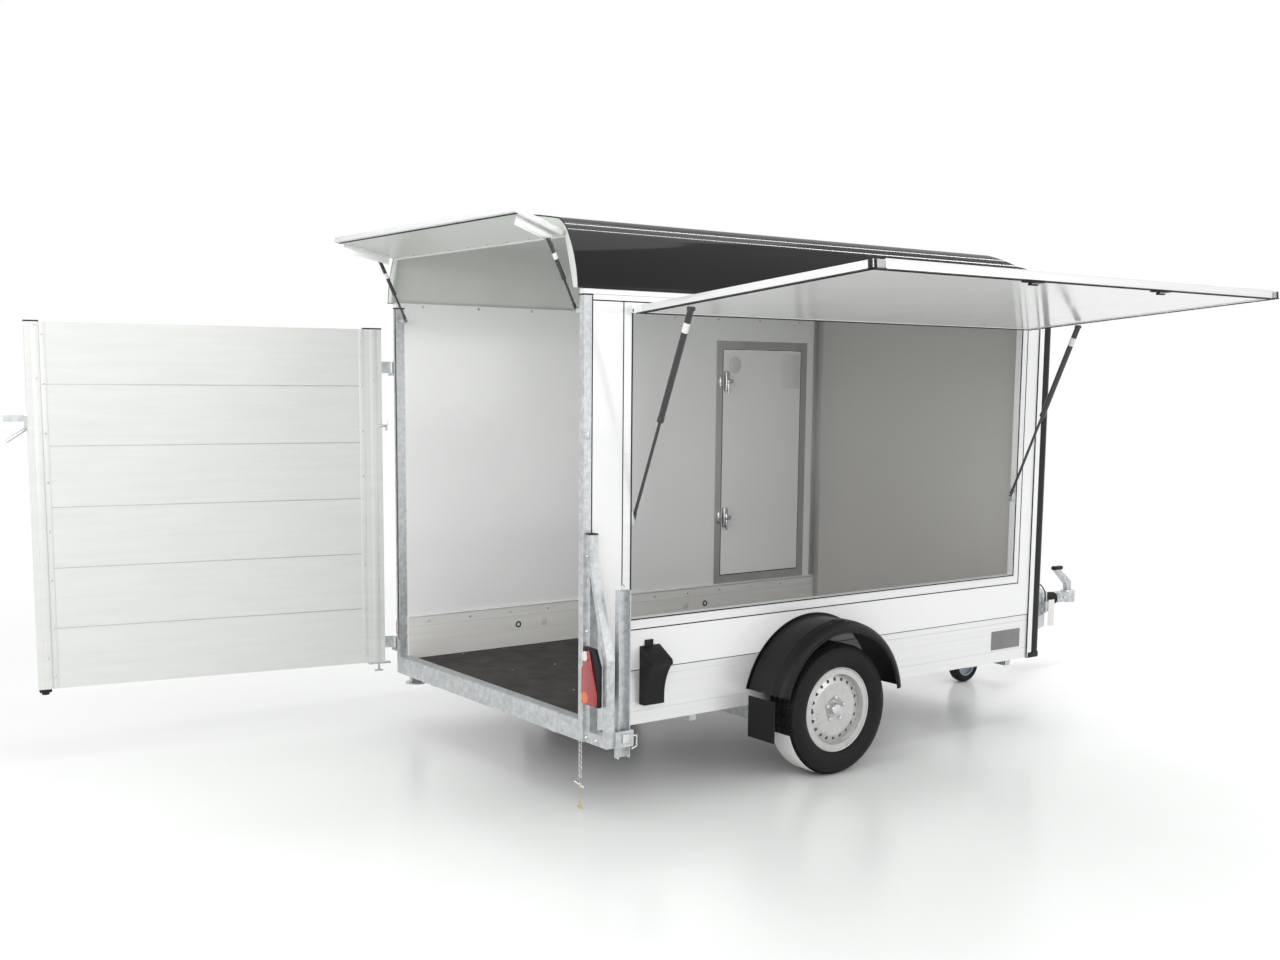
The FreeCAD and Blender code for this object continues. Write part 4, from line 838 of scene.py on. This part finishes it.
# ---------------------------------------------------------------- inner trims
# Inside, aluminium angles close the two front corners, a bead finishes the
# kick boards, and eyes and blank round stickers sit along them.
kick = [Vector(corner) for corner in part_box("kick_boards")]
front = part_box("front_wall")[0][0]
roof_in = rails[1].z
angles = []
for side in (1, -1):
    low_y, high_y = sorted((side * (inside - 0.004), side * (inside - 0.0005)))
    angles.append(slab((front - 0.036, low_y, board[1].z), (front + 0.006, high_y, roof_in),
                       0.001))
    low_y, high_y = sorted((side * (inside - 0.050), side * (inside + 0.0)))
    angles.append(slab((front - 0.003, low_y, board[1].z), (front - 0.0002, high_y, roof_in),
                       0.001))
settle(join(angles), "corner_angles", "root", frame_grey)
beads = []
for side in (1, -1):
    low_y, high_y = sorted((side * (inside - 0.012), side * (inside - 0.0002)))
    beads.append(slab((kick[0].x, low_y, kick[1].z - 0.001), (front, high_y, kick[1].z + 0.010),
                      0.003))
    low_y, high_y = sorted((side * (inside - 0.0095), side * (inside - 0.008)))
    beads.append(slab((kick[0].x, low_y, kick[1].z - 0.048), (front, high_y, kick[1].z - 0.045),
                      0.0005))
settle(join(beads), "kick_beads", "root", anodised)
kick_face = inside - 0.008
kick_screws = []
for side, facing in ((1, "-Y"), (-1, "+Y")):
    kick_screws += spots(facing, [Vector((kick[0].x + 0.12 + 0.25 * count, side * kick_face,
                                          kick[1].z - 0.024)) for count in range(11)])
settle(copies(screw(0.006, 0.0025), kick_screws), "kick_screws", "root", steel)
eyes = []
for side in (1, -1):
    for x in (0.72, 2.05):
        bpy.ops.object.select_all(action="DESELECT")
        bpy.ops.mesh.primitive_torus_add(major_radius=0.014, minor_radius=0.004,
                                         major_segments=24, minor_segments=8,
                                         location=(REAR + x, side * kick_face, GROUND + 0.507),
                                         rotation=(math.pi / 2, 0, 0))
        eyes.append(bpy.context.object)
        bpy.ops.object.shade_smooth()
settle(join(eyes), "lashing_eyes", "root", cap_black)


def disc(x, y, z, radius, facing, thick=0.0006):
    """A thin round sticker on a wall."""
    outward = FACING[facing].to_3x3() @ Vector((0, 0, 1))
    base = Vector((x, y, z))
    return rod(base, base + outward * thick, radius, 0.0002, 40)


sticker = finish_of("blank_sticker", (0.70, 0.70, 0.69), (0.64, 0.64, 0.63), grain=30,
                    rough=(0.3, 0.4), dent=0.05, dent_grain=200)
stickers = [disc(REAR + x, kick_face, GROUND + 0.507, 0.022, "-Y") for x in (0.886, 1.90)]
settle(join(stickers), "round_stickers", "root", sticker)

# ---------------------------------------------------------------- side door
# The side door's inner face shows two lever latches on its rear edge, and a
# round and a rectangular blank label. Two barrels hang it at its front edge.
leaf = [Vector(corner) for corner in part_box("side_door")]
leaf_in = inside
latches, keepers = [], []
for z in (1.853, 1.026):
    level = GROUND + z
    x = leaf[0].x
    latches += [slab((x + 0.004, leaf_in - 0.022, level - 0.060),
                     (x + 0.034, leaf_in, level + 0.060), 0.004, 3),
                rod((x + 0.018, leaf_in - 0.026, level + 0.02),
                    (x + 0.018, leaf_in - 0.030, level - 0.075), 0.005),
                slab((x + 0.010, leaf_in - 0.036, level - 0.012),
                     (x + 0.050, leaf_in - 0.022, level + 0.012), 0.003)]
    keepers.append(slab((x - 0.038, leaf_in - 0.016, level - 0.035),
                        (x - 0.012, leaf_in, level + 0.035), 0.003))
settle(join(latches), "side_door_latches", "side_door", steel)
settle(join(keepers), "side_door_keepers", "root", steel)
round_label = disc(REAR + 2.267, leaf_in, GROUND + 1.951, 0.050, "-Y")
settle(round_label, "round_label", "side_door", sticker)
note = slab((REAR + 2.650, leaf_in - 0.0006, GROUND + 1.811), (REAR + 2.795, leaf_in,
                                                             GROUND + 2.022), 0.0002)
settle(note, "blank_note", "side_door", paper)
rims = []
for z0, z1, x0, x1 in ((leaf[0].z, leaf[1].z, leaf[0].x - 0.006, leaf[0].x - 0.001),
                       (leaf[0].z, leaf[1].z, leaf[1].x + 0.001, leaf[1].x + 0.006),
                       (leaf[1].z + 0.001, leaf[1].z + 0.006, leaf[0].x - 0.006, leaf[1].x + 0.006),
                       (leaf[0].z - 0.006, leaf[0].z - 0.001, leaf[0].x - 0.006,
                        leaf[1].x + 0.006)):
    rims.append(slab((x0, inside + 0.002, z0), (x1, inside + 0.006, z1), 0.0005))
settle(join(rims), "side_door_seal", "root", seal_black)

# ---------------------------------------------------------------- side hatch
# The hatch leaf has an aluminium edge profile with a black rubber seal on its
# inner face, a lip bar with rounded black ends, rivets and two turn latches.
# It is made closed and then turned up about its hinge with the leaf.
JOINTS = {joint["name"]: joint for joint in frame["joints"]}


def opened(name):
    """The turn from a part's closed place to where it stands at rest."""
    joint = JOINTS[name]
    pivot = Matrix.Translation(joint["pos_m"])
    turn = Matrix.Rotation(-math.radians(joint["range_deg"][1]), 4, Vector(joint["axis"]))
    return pivot @ turn @ pivot.inverted()


def swung(piece, joint):
    piece.data.transform(opened(joint))
    return piece


HATCH = "side_hatch_hinge"
hx0, hx1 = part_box("side_hatch")[0][0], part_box("side_hatch")[1][0]
pin_y, pin_z = JOINTS[HATCH]["pos_m"][1], JOINTS[HATCH]["pos_m"][2]
leaf_inner, leaf_outer = pin_y + 0.012, pin_y - 0.016
hz1 = pin_z - 0.006
hz0 = hz1 - 1.387
EDGE = 0.036


def around(x0, x1, z0, z1, width, y0, y1, soft=0.001):
    """Four bars round a rectangle in a plane across Y."""
    y0, y1 = sorted((y0, y1))
    return [slab((x0, y0, z0), (x1, y1, z0 + width), soft),
            slab((x0, y0, z1 - width), (x1, y1, z1), soft),
            slab((x0, y0, z0 + width), (x0 + width, y1, z1 - width), soft),
            slab((x1 - width, y0, z0 + width), (x1, y1, z1 - width), soft)]


profile = around(hx0 - 0.001, hx1 + 0.001, hz0, hz1 - 0.012, EDGE, leaf_outer - 0.0015,
                 leaf_inner + 0.0015)
swung(settle(join(profile), "hatch_edge_profile", "side_hatch", anodised),
      HATCH)
rubber_edge = around(hx0 + 0.012, hx1 - 0.012, hz0 + 0.012, hz1 - 0.020, 0.010,
                     leaf_inner + 0.0012, leaf_inner + 0.0052, 0.0015)
swung(settle(join(rubber_edge), "hatch_seal", "side_hatch", seal_black), HATCH)
outer_line = around(hx0 - 0.0022, hx1 + 0.0022, hz0 - 0.0022, hz1 - 0.013, 0.0030,
                    leaf_inner + 0.0002, leaf_inner + 0.0032, 0.0004)
swung(settle(join(outer_line), "hatch_edge_line", "side_hatch", seal_black),
      HATCH)
lip_bar = join([slab((hx0 + 0.06, leaf_outer - 0.006, hz0 - 0.003), (hx1 - 0.06, leaf_inner + 0.002,
                                                                     hz0 + 0.003), 0.002)])
swung(settle(lip_bar, "hatch_lip", "side_hatch", anodised), HATCH)
ends = [rod((x, leaf_outer - 0.002, hz0 + 0.014), (x, leaf_inner + 0.002, hz0 + 0.014), 0.016,
            0.003) for x in (hx0 + 0.010, hx1 - 0.010)]
swung(settle(join(ends), "hatch_corner_caps", "side_hatch", cap_black), HATCH)
rivets = []
for count in range(17):
    x = hx0 + 0.08 + count * (hx1 - hx0 - 0.16) / 16
    rivets += [Vector((x, leaf_inner + 0.0015, hz0 + 0.029)), Vector((x, leaf_inner + 0.0015,
                                                                    hz1 - 0.040))]
for count in range(9):
    z = hz0 + 0.10 + count * (hz1 - hz0 - 0.2) / 8
    rivets += [Vector((x, leaf_inner + 0.0015, z)) for x in (hx0 + 0.029, hx1 - 0.029)]
swung(settle(copies(screw(0.004, 0.0018), spots("+Y", rivets)), "hatch_rivets", "side_hatch",
             steel), HATCH)
turn_latches = []
for share in (0.34, 0.66):
    x = hx0 + share * (hx1 - hx0)
    turn_latches += [slab((x - 0.055, leaf_inner + 0.001, hz0 + 0.004),
                          (x + 0.055, leaf_inner + 0.009, hz0 + 0.034), 0.002),
                     rod((x - 0.02, leaf_inner + 0.008, hz0 + 0.019),
                         (x - 0.02, leaf_inner + 0.020, hz0 + 0.019), 0.007),
                     slab((x - 0.028, leaf_inner + 0.014, hz0 + 0.012),
                          (x + 0.022, leaf_inner + 0.020, hz0 + 0.026), 0.002)]
swung(settle(join(turn_latches), "hatch_latches", "side_hatch", cap_black),
      HATCH)
hinge_profile = slab((hx0, -0.8945, hz1 - 0.004), (hx1, -0.8710, hz1 + 0.030), 0.003)
settle(hinge_profile, "hatch_hinge_cover", "root", laminate)

# ---------------------------------------------------------------- hatch frame
# The frame round the hatch opening has a rubber lip on its inner edge.
lip = around(ring[0].x + 0.040, ring[1].x - 0.040, ring[0].z + 0.040, ring[1].z - 0.040, 0.006,
             outside - 0.003, outside + 0.0, 0.001)
settle(join(lip), "hatch_frame_lip", "root", seal_black)

# ---------------------------------------------------------------- gas springs
# Black painted cylinders with black rods, a ball socket at each end, a collar
# at the mouth and a plain pale band; the hatch pair is the larger.
spring_black = finish_of("spring_black", (0.018, 0.018, 0.019), (0.011, 0.011, 0.012), grain=20,
                         rough=(0.22, 0.32), coat=0.5)


def spring_trims(place, cylinder_body, rod_body, anchor_body, barrel, stem, pin, slide, length):
    """Sockets, collar and band for one spring, along its own line."""
    along = Vector(JOINTS[slide]["axis"])
    upper = Vector(JOINTS[pin]["pos_m"])
    across = Vector(JOINTS[pin]["axis"])
    lower = upper + along * length
    mouth = upper + along * barrel[1]
    parts = [rod(upper - along * 0.004, upper + along * 0.030, barrel[0] * 0.72, 0.002),
             rod(mouth - along * 0.018, mouth + along * 0.003, barrel[0] * 1.08, 0.002)]
    settle(join(parts), f"{place}_collars", cylinder_body, spring_black)
    band = rod(upper + along * 0.060, upper + along * (0.060 + barrel[0] * 3), barrel[0] * 1.015,
               0.0003, 40)
    settle(band, f"{place}_band", cylinder_body, paper)
    socket = rod(lower - along * 0.030, lower + along * 0.010, stem * 1.35, 0.002)
    settle(socket, f"{place}_socket", rod_body, spring_black)
    return upper, lower, across


for end in ("rear", "front"):
    place = f"hatch_spring_{end}"
    dress(spring_black, f"{place}_cylinder", f"{place}_rod")
    upper, lower, across = spring_trims(place, f"hatch_cylinder_{end}", f"hatch_rod_{end}",
                                        "root", (0.014, 0.500), 0.007,
                                        f"hatch_cylinder_{end}_pin", f"hatch_rod_{end}_slide",
                                        0.96258)
    toward = -1 if end == "rear" else 1
    foot = [slab((lower.x + min(0, toward * 0.020), -0.866, lower.z - 0.035),
                 (lower.x + max(0, toward * 0.020), -0.840, lower.z + 0.035), 0.002),
            rod(lower - across * 0.012, lower + across * 0.012, 0.0045)]
    settle(join(foot), f"{place}_foot", "root", zinc)
for name, side in (("left", 1), ("right", -1)):
    place = f"flap_spring_{name}"
    dress(spring_black, f"{place}_cylinder", f"{place}_rod")
    upper, lower, across = spring_trims(place, f"flap_cylinder_{name}", f"flap_rod_{name}",
                                        "root", (0.009, 0.175), 0.005,
                                        f"flap_cylinder_{name}_pin", f"flap_rod_{name}_slide",
                                        0.31197)
    low_y, high_y = sorted((side * 0.788, side * inside))
    foot = [slab((lower.x - 0.012, low_y, lower.z - 0.016), (lower.x + 0.012, high_y,
                                                            lower.z + 0.004), 0.002),
            rod(lower - across * 0.014, lower + across * 0.014, 0.004)]
    settle(join(foot), f"{place}_foot", "root", zinc)

# ---------------------------------------------------------------- rear flap
# The flap above the rear door is a bonded leaf with an aluminium edge, a black
# seal, folded cheeks that carry the springs, and a light strip on the right.
FLAP = "rear_flap_hinge"
flap_x, _, flap_z = JOINTS[FLAP]["pos_m"]
face_in, face_out = flap_x - 0.002, flap_x - 0.022
flap_top, flap_low = flap_z - 0.003, flap_z - 0.298
TOP_HALF, LOW_HALF = 0.770, 0.851
low_edge = slab((face_out - 0.002, -LOW_HALF, flap_low - 0.002), (face_in + 0.002, LOW_HALF,
                                                                 flap_low + 0.016), 0.002)
swung(settle(low_edge, "flap_edge", "rear_flap", anodised), FLAP)
seal = [slab((face_in - 0.001, -LOW_HALF + 0.01, flap_low + 0.017),
             (face_in + 0.004, LOW_HALF - 0.01, flap_low + 0.024), 0.001)]
cheeks, sides = [], []
for side in (1, -1):
    lean = math.atan2(LOW_HALF - TOP_HALF, flap_top - flap_low)
    length = math.hypot(LOW_HALF - TOP_HALF, flap_top - flap_low)
    corner = Vector((0, side * LOW_HALF, flap_low))
    turn = Matrix.Translation(corner) @ Matrix.Rotation(side * lean, 4, "X")
    edge = slab((face_out - 0.002, -0.010, 0.004), (face_in + 0.002, 0.010, length - 0.006),
                0.002)
    edge.data.transform(edge.matrix_world)
    edge.matrix_world = turn @ shift(0, -side * 0.009, 0)
    sides.append(edge)
    cheek = slab((face_in, -0.0015, 0.045), (face_in + 0.042, 0.0015, length - 0.030), 0.0008)
    cheek.data.transform(cheek.matrix_world)
    cheek.matrix_world = turn @ shift(0, -side * 0.030, 0)
    bpy.context.view_layer.update()
    cheeks.append(cheek)
swung(settle(join(sides), "flap_side_edges", "rear_flap", anodised), FLAP)
swung(settle(join(seal), "flap_seal", "rear_flap", seal_black), FLAP)
swung(settle(join(cheeks), "flap_cheeks", "rear_flap", anodised), FLAP)
light_white = finish_of("light_strip", (0.93, 0.93, 0.93), (0.90, 0.90, 0.90), grain=10,
                        rough=(0.15, 0.25))
strip = slab((-0.012, -0.009, 0.0), (0.012, 0.009, 0.180), 0.005, 3)
strip.data.transform(strip.matrix_world)
strip.matrix_world = (Matrix.Translation((face_in + 0.022, -LOW_HALF + 0.052, flap_low + 0.075))
                      @ Matrix.Rotation(-lean, 4, "X"))
swung(settle(strip, "flap_light", "rear_flap", light_white), FLAP)
flap_rivets = []
for count in range(9):
    y = -0.70 + 0.175 * count
    flap_rivets += [Vector((face_in, y, flap_top - 0.018))]
    flap_rivets += [Vector((face_in + 0.002, y * 1.08, flap_low + 0.008))]
swung(settle(copies(screw(0.0045, 0.002), spots("+X", flap_rivets)), "flap_rivets", "rear_flap",
             steel), FLAP)

# ---------------------------------------------------------------- rear door
# Boards are slotted into two posts and screwed through their flanges. Black
# caps close the posts, a plastic foot is at the free post's end, and a lever
# latch and a T-handle bolt work through the posts.
DOOR = "rear_door_hinge"
NEAR, FAR = 0.857, -0.832
door_in, door_out = REAR - 0.006, REAR - 0.046
door_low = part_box("rear_door_boards")[0][2]
door_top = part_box("rear_door_boards")[1][2]
flanges = []
for y0, y1 in ((FAR + 0.063, FAR + 0.089), (NEAR - 0.116, NEAR - 0.090)):
    for x0, x1 in ((door_in - 0.0085, door_in - 0.005), (door_out + 0.003, door_out + 0.0072)):
        flanges.append(slab((x0, y0, door_low), (x1, y1, door_top), 0.0008))
for y in (FAR + 0.028, NEAR - 0.060):
    for x0, x1 in ((door_in, door_in + 0.0022), (door_out - 0.0022, door_out)):
        flanges.append(slab((x0, y, door_low), (x1, y + 0.034, door_top), 0.0008))
swung(settle(join(flanges), "door_post_flanges", "rear_door", board_finish), DOOR)
grooves = []
for count in range(1, 6):
    z = door_low + count * (door_top - door_low) / 6
    for x0, x1 in ((door_in - 0.0085, door_in - 0.0078), (door_out + 0.0064, door_out + 0.0074)):
        grooves.append(slab((x0, FAR + 0.088, z - 0.0017), (x1, NEAR - 0.115, z + 0.0017), 0.0002))
swung(settle(join(grooves), "door_board_joints", "rear_door", frame_grey), DOOR)
door_screws = []
for z in [door_low + 0.06 + 0.232 * count for count in range(8)]:
    door_screws += [Vector((door_in - 0.0050, y, z)) for y in (FAR + 0.076, NEAR - 0.103)]
for z in (door_low + 0.15, door_top - 0.012, door_top - 0.26):
    door_screws += [Vector((door_in + 0.0022, y, z)) for y in (FAR + 0.045, NEAR - 0.043)]
swung(settle(copies(screw(0.0055, 0.0025), spots("+X", door_screws)), "door_screws", "rear_door",
             steel), DOOR)
back_screws = [Vector((door_out + 0.003, point.y, point.z)) for point in door_screws]
swung(settle(copies(screw(0.0055, 0.0025), spots("-X", back_screws)), "door_back_screws",
             "rear_door", steel), DOOR)
door_caps = [slab((door_out - 0.002, FAR - 0.002, door_top), (door_in + 0.002, FAR + 0.065,
                                                             door_top + 0.007), 0.002),
             slab((door_out - 0.002, NEAR - 0.092, door_top), (door_in + 0.002, NEAR + 0.002,
                                                              door_top + 0.007), 0.002)]
swung(settle(join(door_caps), "door_post_caps", "rear_door", cap_black), DOOR)
foot = [slab((door_out + 0.001, FAR + 0.002, door_low - 0.016), (door_in - 0.001, FAR + 0.058,
                                                               door_low + 0.004), 0.005, 3),
        rod((door_out + 0.020, FAR + 0.030, door_low - 0.028),
            (door_out + 0.020, FAR + 0.030, door_low - 0.012), 0.018, 0.004)]
swung(settle(join(foot), "door_foot", "rear_door", cap_black), DOOR)
handle = [rod((door_out - 0.004, FAR + 0.018, GROUND + 1.62), (door_out - 0.030, FAR + 0.018,
                                                              GROUND + 1.62), 0.010),
          slab((door_out - 0.034, FAR - 0.012, GROUND + 1.600), (door_out - 0.024, FAR + 0.034,
                                                                GROUND + 1.690), 0.003),
          rod((door_out - 0.030, FAR - 0.002, GROUND + 1.606), (door_out - 0.034, FAR - 0.092,
                                                               GROUND + 1.545), 0.0085, 0.003)]
swung(settle(join(handle), "door_lever", "rear_door", steel), DOOR)
tee = [rod((door_in, NEAR - 0.020, GROUND + 1.61), (door_in + 0.004, NEAR + 0.022,
                                                   GROUND + 1.61), 0.007),
       rod((door_in + 0.004, NEAR + 0.020, GROUND + 1.585), (door_in + 0.004, NEAR + 0.020,
                                                            GROUND + 1.635), 0.006)]
swung(settle(join(tee), "door_tee_bolt", "rear_door", steel), DOOR)
drop = [rod((door_in - 0.020, NEAR - 0.030, door_low - 0.050), (door_in - 0.020, NEAR - 0.030,
                                                               door_low + 0.002), 0.006),
        rod((door_in - 0.020, NEAR - 0.052, door_low - 0.046), (door_in - 0.020, NEAR - 0.008,
                                                               door_low - 0.046), 0.005),
        slab((door_out + 0.004, NEAR - 0.085, door_low - 0.010), (door_in - 0.004, NEAR + 0.030,
                                                                 door_low - 0.002), 0.001)]
swung(settle(join(drop), "door_drop_bolt", "rear_door", zinc), DOOR)
keeper = [slab((REAR - 0.004, -0.900, GROUND + 1.615), (REAR + 0.012, -0.870, GROUND + 1.640),
               0.002),
          rod((REAR + 0.004, -0.897, GROUND + 1.610), (REAR + 0.004, -0.897, GROUND + 1.645),
              0.006)]
settle(join(keeper), "door_keeper", "root", zinc)

# ---------------------------------------------------------------- front corners
# A white strip runs up beside each black corner post, and a plastic cap
# closes the post's lower end.
corner = [Vector(c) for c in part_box("front_corner_posts")]
strips, ends = [], []
for side in (1, -1):
    low_y, high_y = sorted((side * 0.8785, side * 0.8800))
    strips.append(slab((corner[0].x - 0.001, low_y, corner[0].z), (corner[0].x + 0.034, high_y,
                                                                  corner[1].z), 0.0006))
    low_y, high_y = sorted((side * 0.800, side * 0.8815))
    ends.append(slab((corner[0].x + 0.002, low_y, corner[0].z - 0.004),
                     (corner[1].x - 0.022, high_y, corner[0].z + 0.030), 0.006, 3))
settle(join(strips), "corner_strips", "root", laminate)
settle(join(ends), "corner_post_ends", "root", cap_black)

# ---------------------------------------------------------------- side plate
# A blank plate is riveted to the right sill board near the front.
plate_grey = finish_of("plate_grey", (0.20, 0.20, 0.20), (0.17, 0.17, 0.17), grain=20,
                       rough=(0.3, 0.4))
plate = slab((REAR + 2.662, outside - 0.0022, GROUND + 0.422), (REAR + 2.896, outside - 0.0002,
                                                               GROUND + 0.524), 0.0008)
settle(plate, "side_plate", "root", plate_grey)

# ---------------------------------------------------------------- coupling end
# A cast ball head on a sliding drawbar: rubber bellows, grease nipples, a
# black handle and hand brake, a pale plate, and the breakaway cable's clips.
cable_red = finish_of("cable_red", (0.50, 0.02, 0.015), (0.40, 0.015, 0.012), grain=200,
                      rough=(0.3, 0.4))
dress(cable_red, "breakaway_cable")
unit = [Vector(c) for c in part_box("overrun_unit")]
housing_front = REAR + 4.220
folds = []
for count in range(7):
    x = housing_front + 0.012 + count * 0.0165
    bpy.ops.object.select_all(action="DESELECT")
    bpy.ops.mesh.primitive_torus_add(major_radius=0.0405 - 0.001 * count, minor_radius=0.0062,
                                     major_segments=36, minor_segments=10,
                                     location=(x, 0, 0.012), rotation=(0, math.pi / 2, 0))
    folds.append(bpy.context.object)
    bpy.ops.object.shade_smooth()
settle(join(folds), "bellows", "root", seal_black)
heads = spots("-Y", [Vector((housing_front - x, -0.042, z)) for x in (0.05, 0.25)
                     for z in (-0.045, 0.045)])
heads += spots("+Y", [Vector((housing_front - x, 0.042, z)) for x in (0.05, 0.25)
                      for z in (-0.045, 0.045)])
heads += spots("-Y", [Vector((x, -0.031, 0.015)) for x in (-0.12, -0.075)])
heads += spots("+Y", [Vector((x, 0.031, 0.015)) for x in (-0.075,)])
settle(copies(screw(0.010, 0.008), heads), "coupling_bolts", "root", steel)
grip = [slab((-0.165, -0.019, 0.196), (-0.080, 0.019, 0.222), 0.009, 4)]
settle(join(grip), "coupling_grip", "root", grained)
brake_grip = rod((housing_front - 0.350, 0, 0.300), (housing_front - 0.372, 0, 0.352), 0.016, 0.006)
settle(brake_grip, "brake_grip", "root", grained)
tag = slab((-0.300, -0.079, -0.150), (-0.240, -0.077, 0.020), 0.0006)
settle(tag, "pale_plate", "root", paper)

# ---------------------------------------------------------------- jockey wheel
# A solid rubber tyre on a grey plastic hub, under a tube with a crank handle.
hub_grey = finish_of("hub_grey", (0.34, 0.38, 0.44), (0.28, 0.32, 0.38), grain=30,
                     rough=(0.4, 0.5), dent=0.2, dent_grain=400)
small = [Vector(c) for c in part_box("jockey_wheel")]
small_x, small_z = (small[0].x + small[1].x) / 2, (small[0].z + small[1].z) / 2
small_tyre = spun("jockey_tyre", [(0.072, -0.026), (0.080, -0.034), (0.096, -0.034),
                                  (0.106, -0.026), (0.110, -0.012), (0.110, 0.012),
                                  (0.106, 0.026), (0.096, 0.034), (0.080, 0.034),
                                  (0.072, 0.026)], (small_x, small_z), 0, 2 * math.pi, 64)
settle(small_tyre, "jockey_tyre", "jockey_roller", rubber)
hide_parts("jockey_wheel")
small_hub = spun("jockey_hub", [(0.0083, -0.034), (0.022, -0.034), (0.024, -0.012),
                                (0.060, -0.010), (0.064, -0.027), (0.0725, -0.027),
                                (0.0725, 0.027), (0.064, 0.027), (0.060, 0.010),
                                (0.024, 0.012), (0.022, 0.034), (0.0083, 0.034)],
                 (small_x, small_z), 0, 2 * math.pi, 48)
settle(small_hub, "jockey_hub", "jockey_roller", hub_grey)
tube = [Vector(c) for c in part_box("jockey_tube")]
knob = rod((tube[1].x - 0.014, 0, tube[1].z - 0.002), (tube[1].x - 0.014, 0, tube[1].z + 0.075),
           0.013, 0.005)
settle(knob, "crank_knob", "root", grained)
clamp_pin = join([rod((tube[0].x + 0.030, -0.075, GROUND + 0.430),
                      (tube[0].x + 0.030, -0.040, GROUND + 0.430), 0.008),
                  rod((tube[0].x - 0.015, -0.072, GROUND + 0.430),
                      (tube[0].x + 0.075, -0.072, GROUND + 0.430), 0.006)])
settle(clamp_pin, "jockey_clamp_pin", "root", steel)
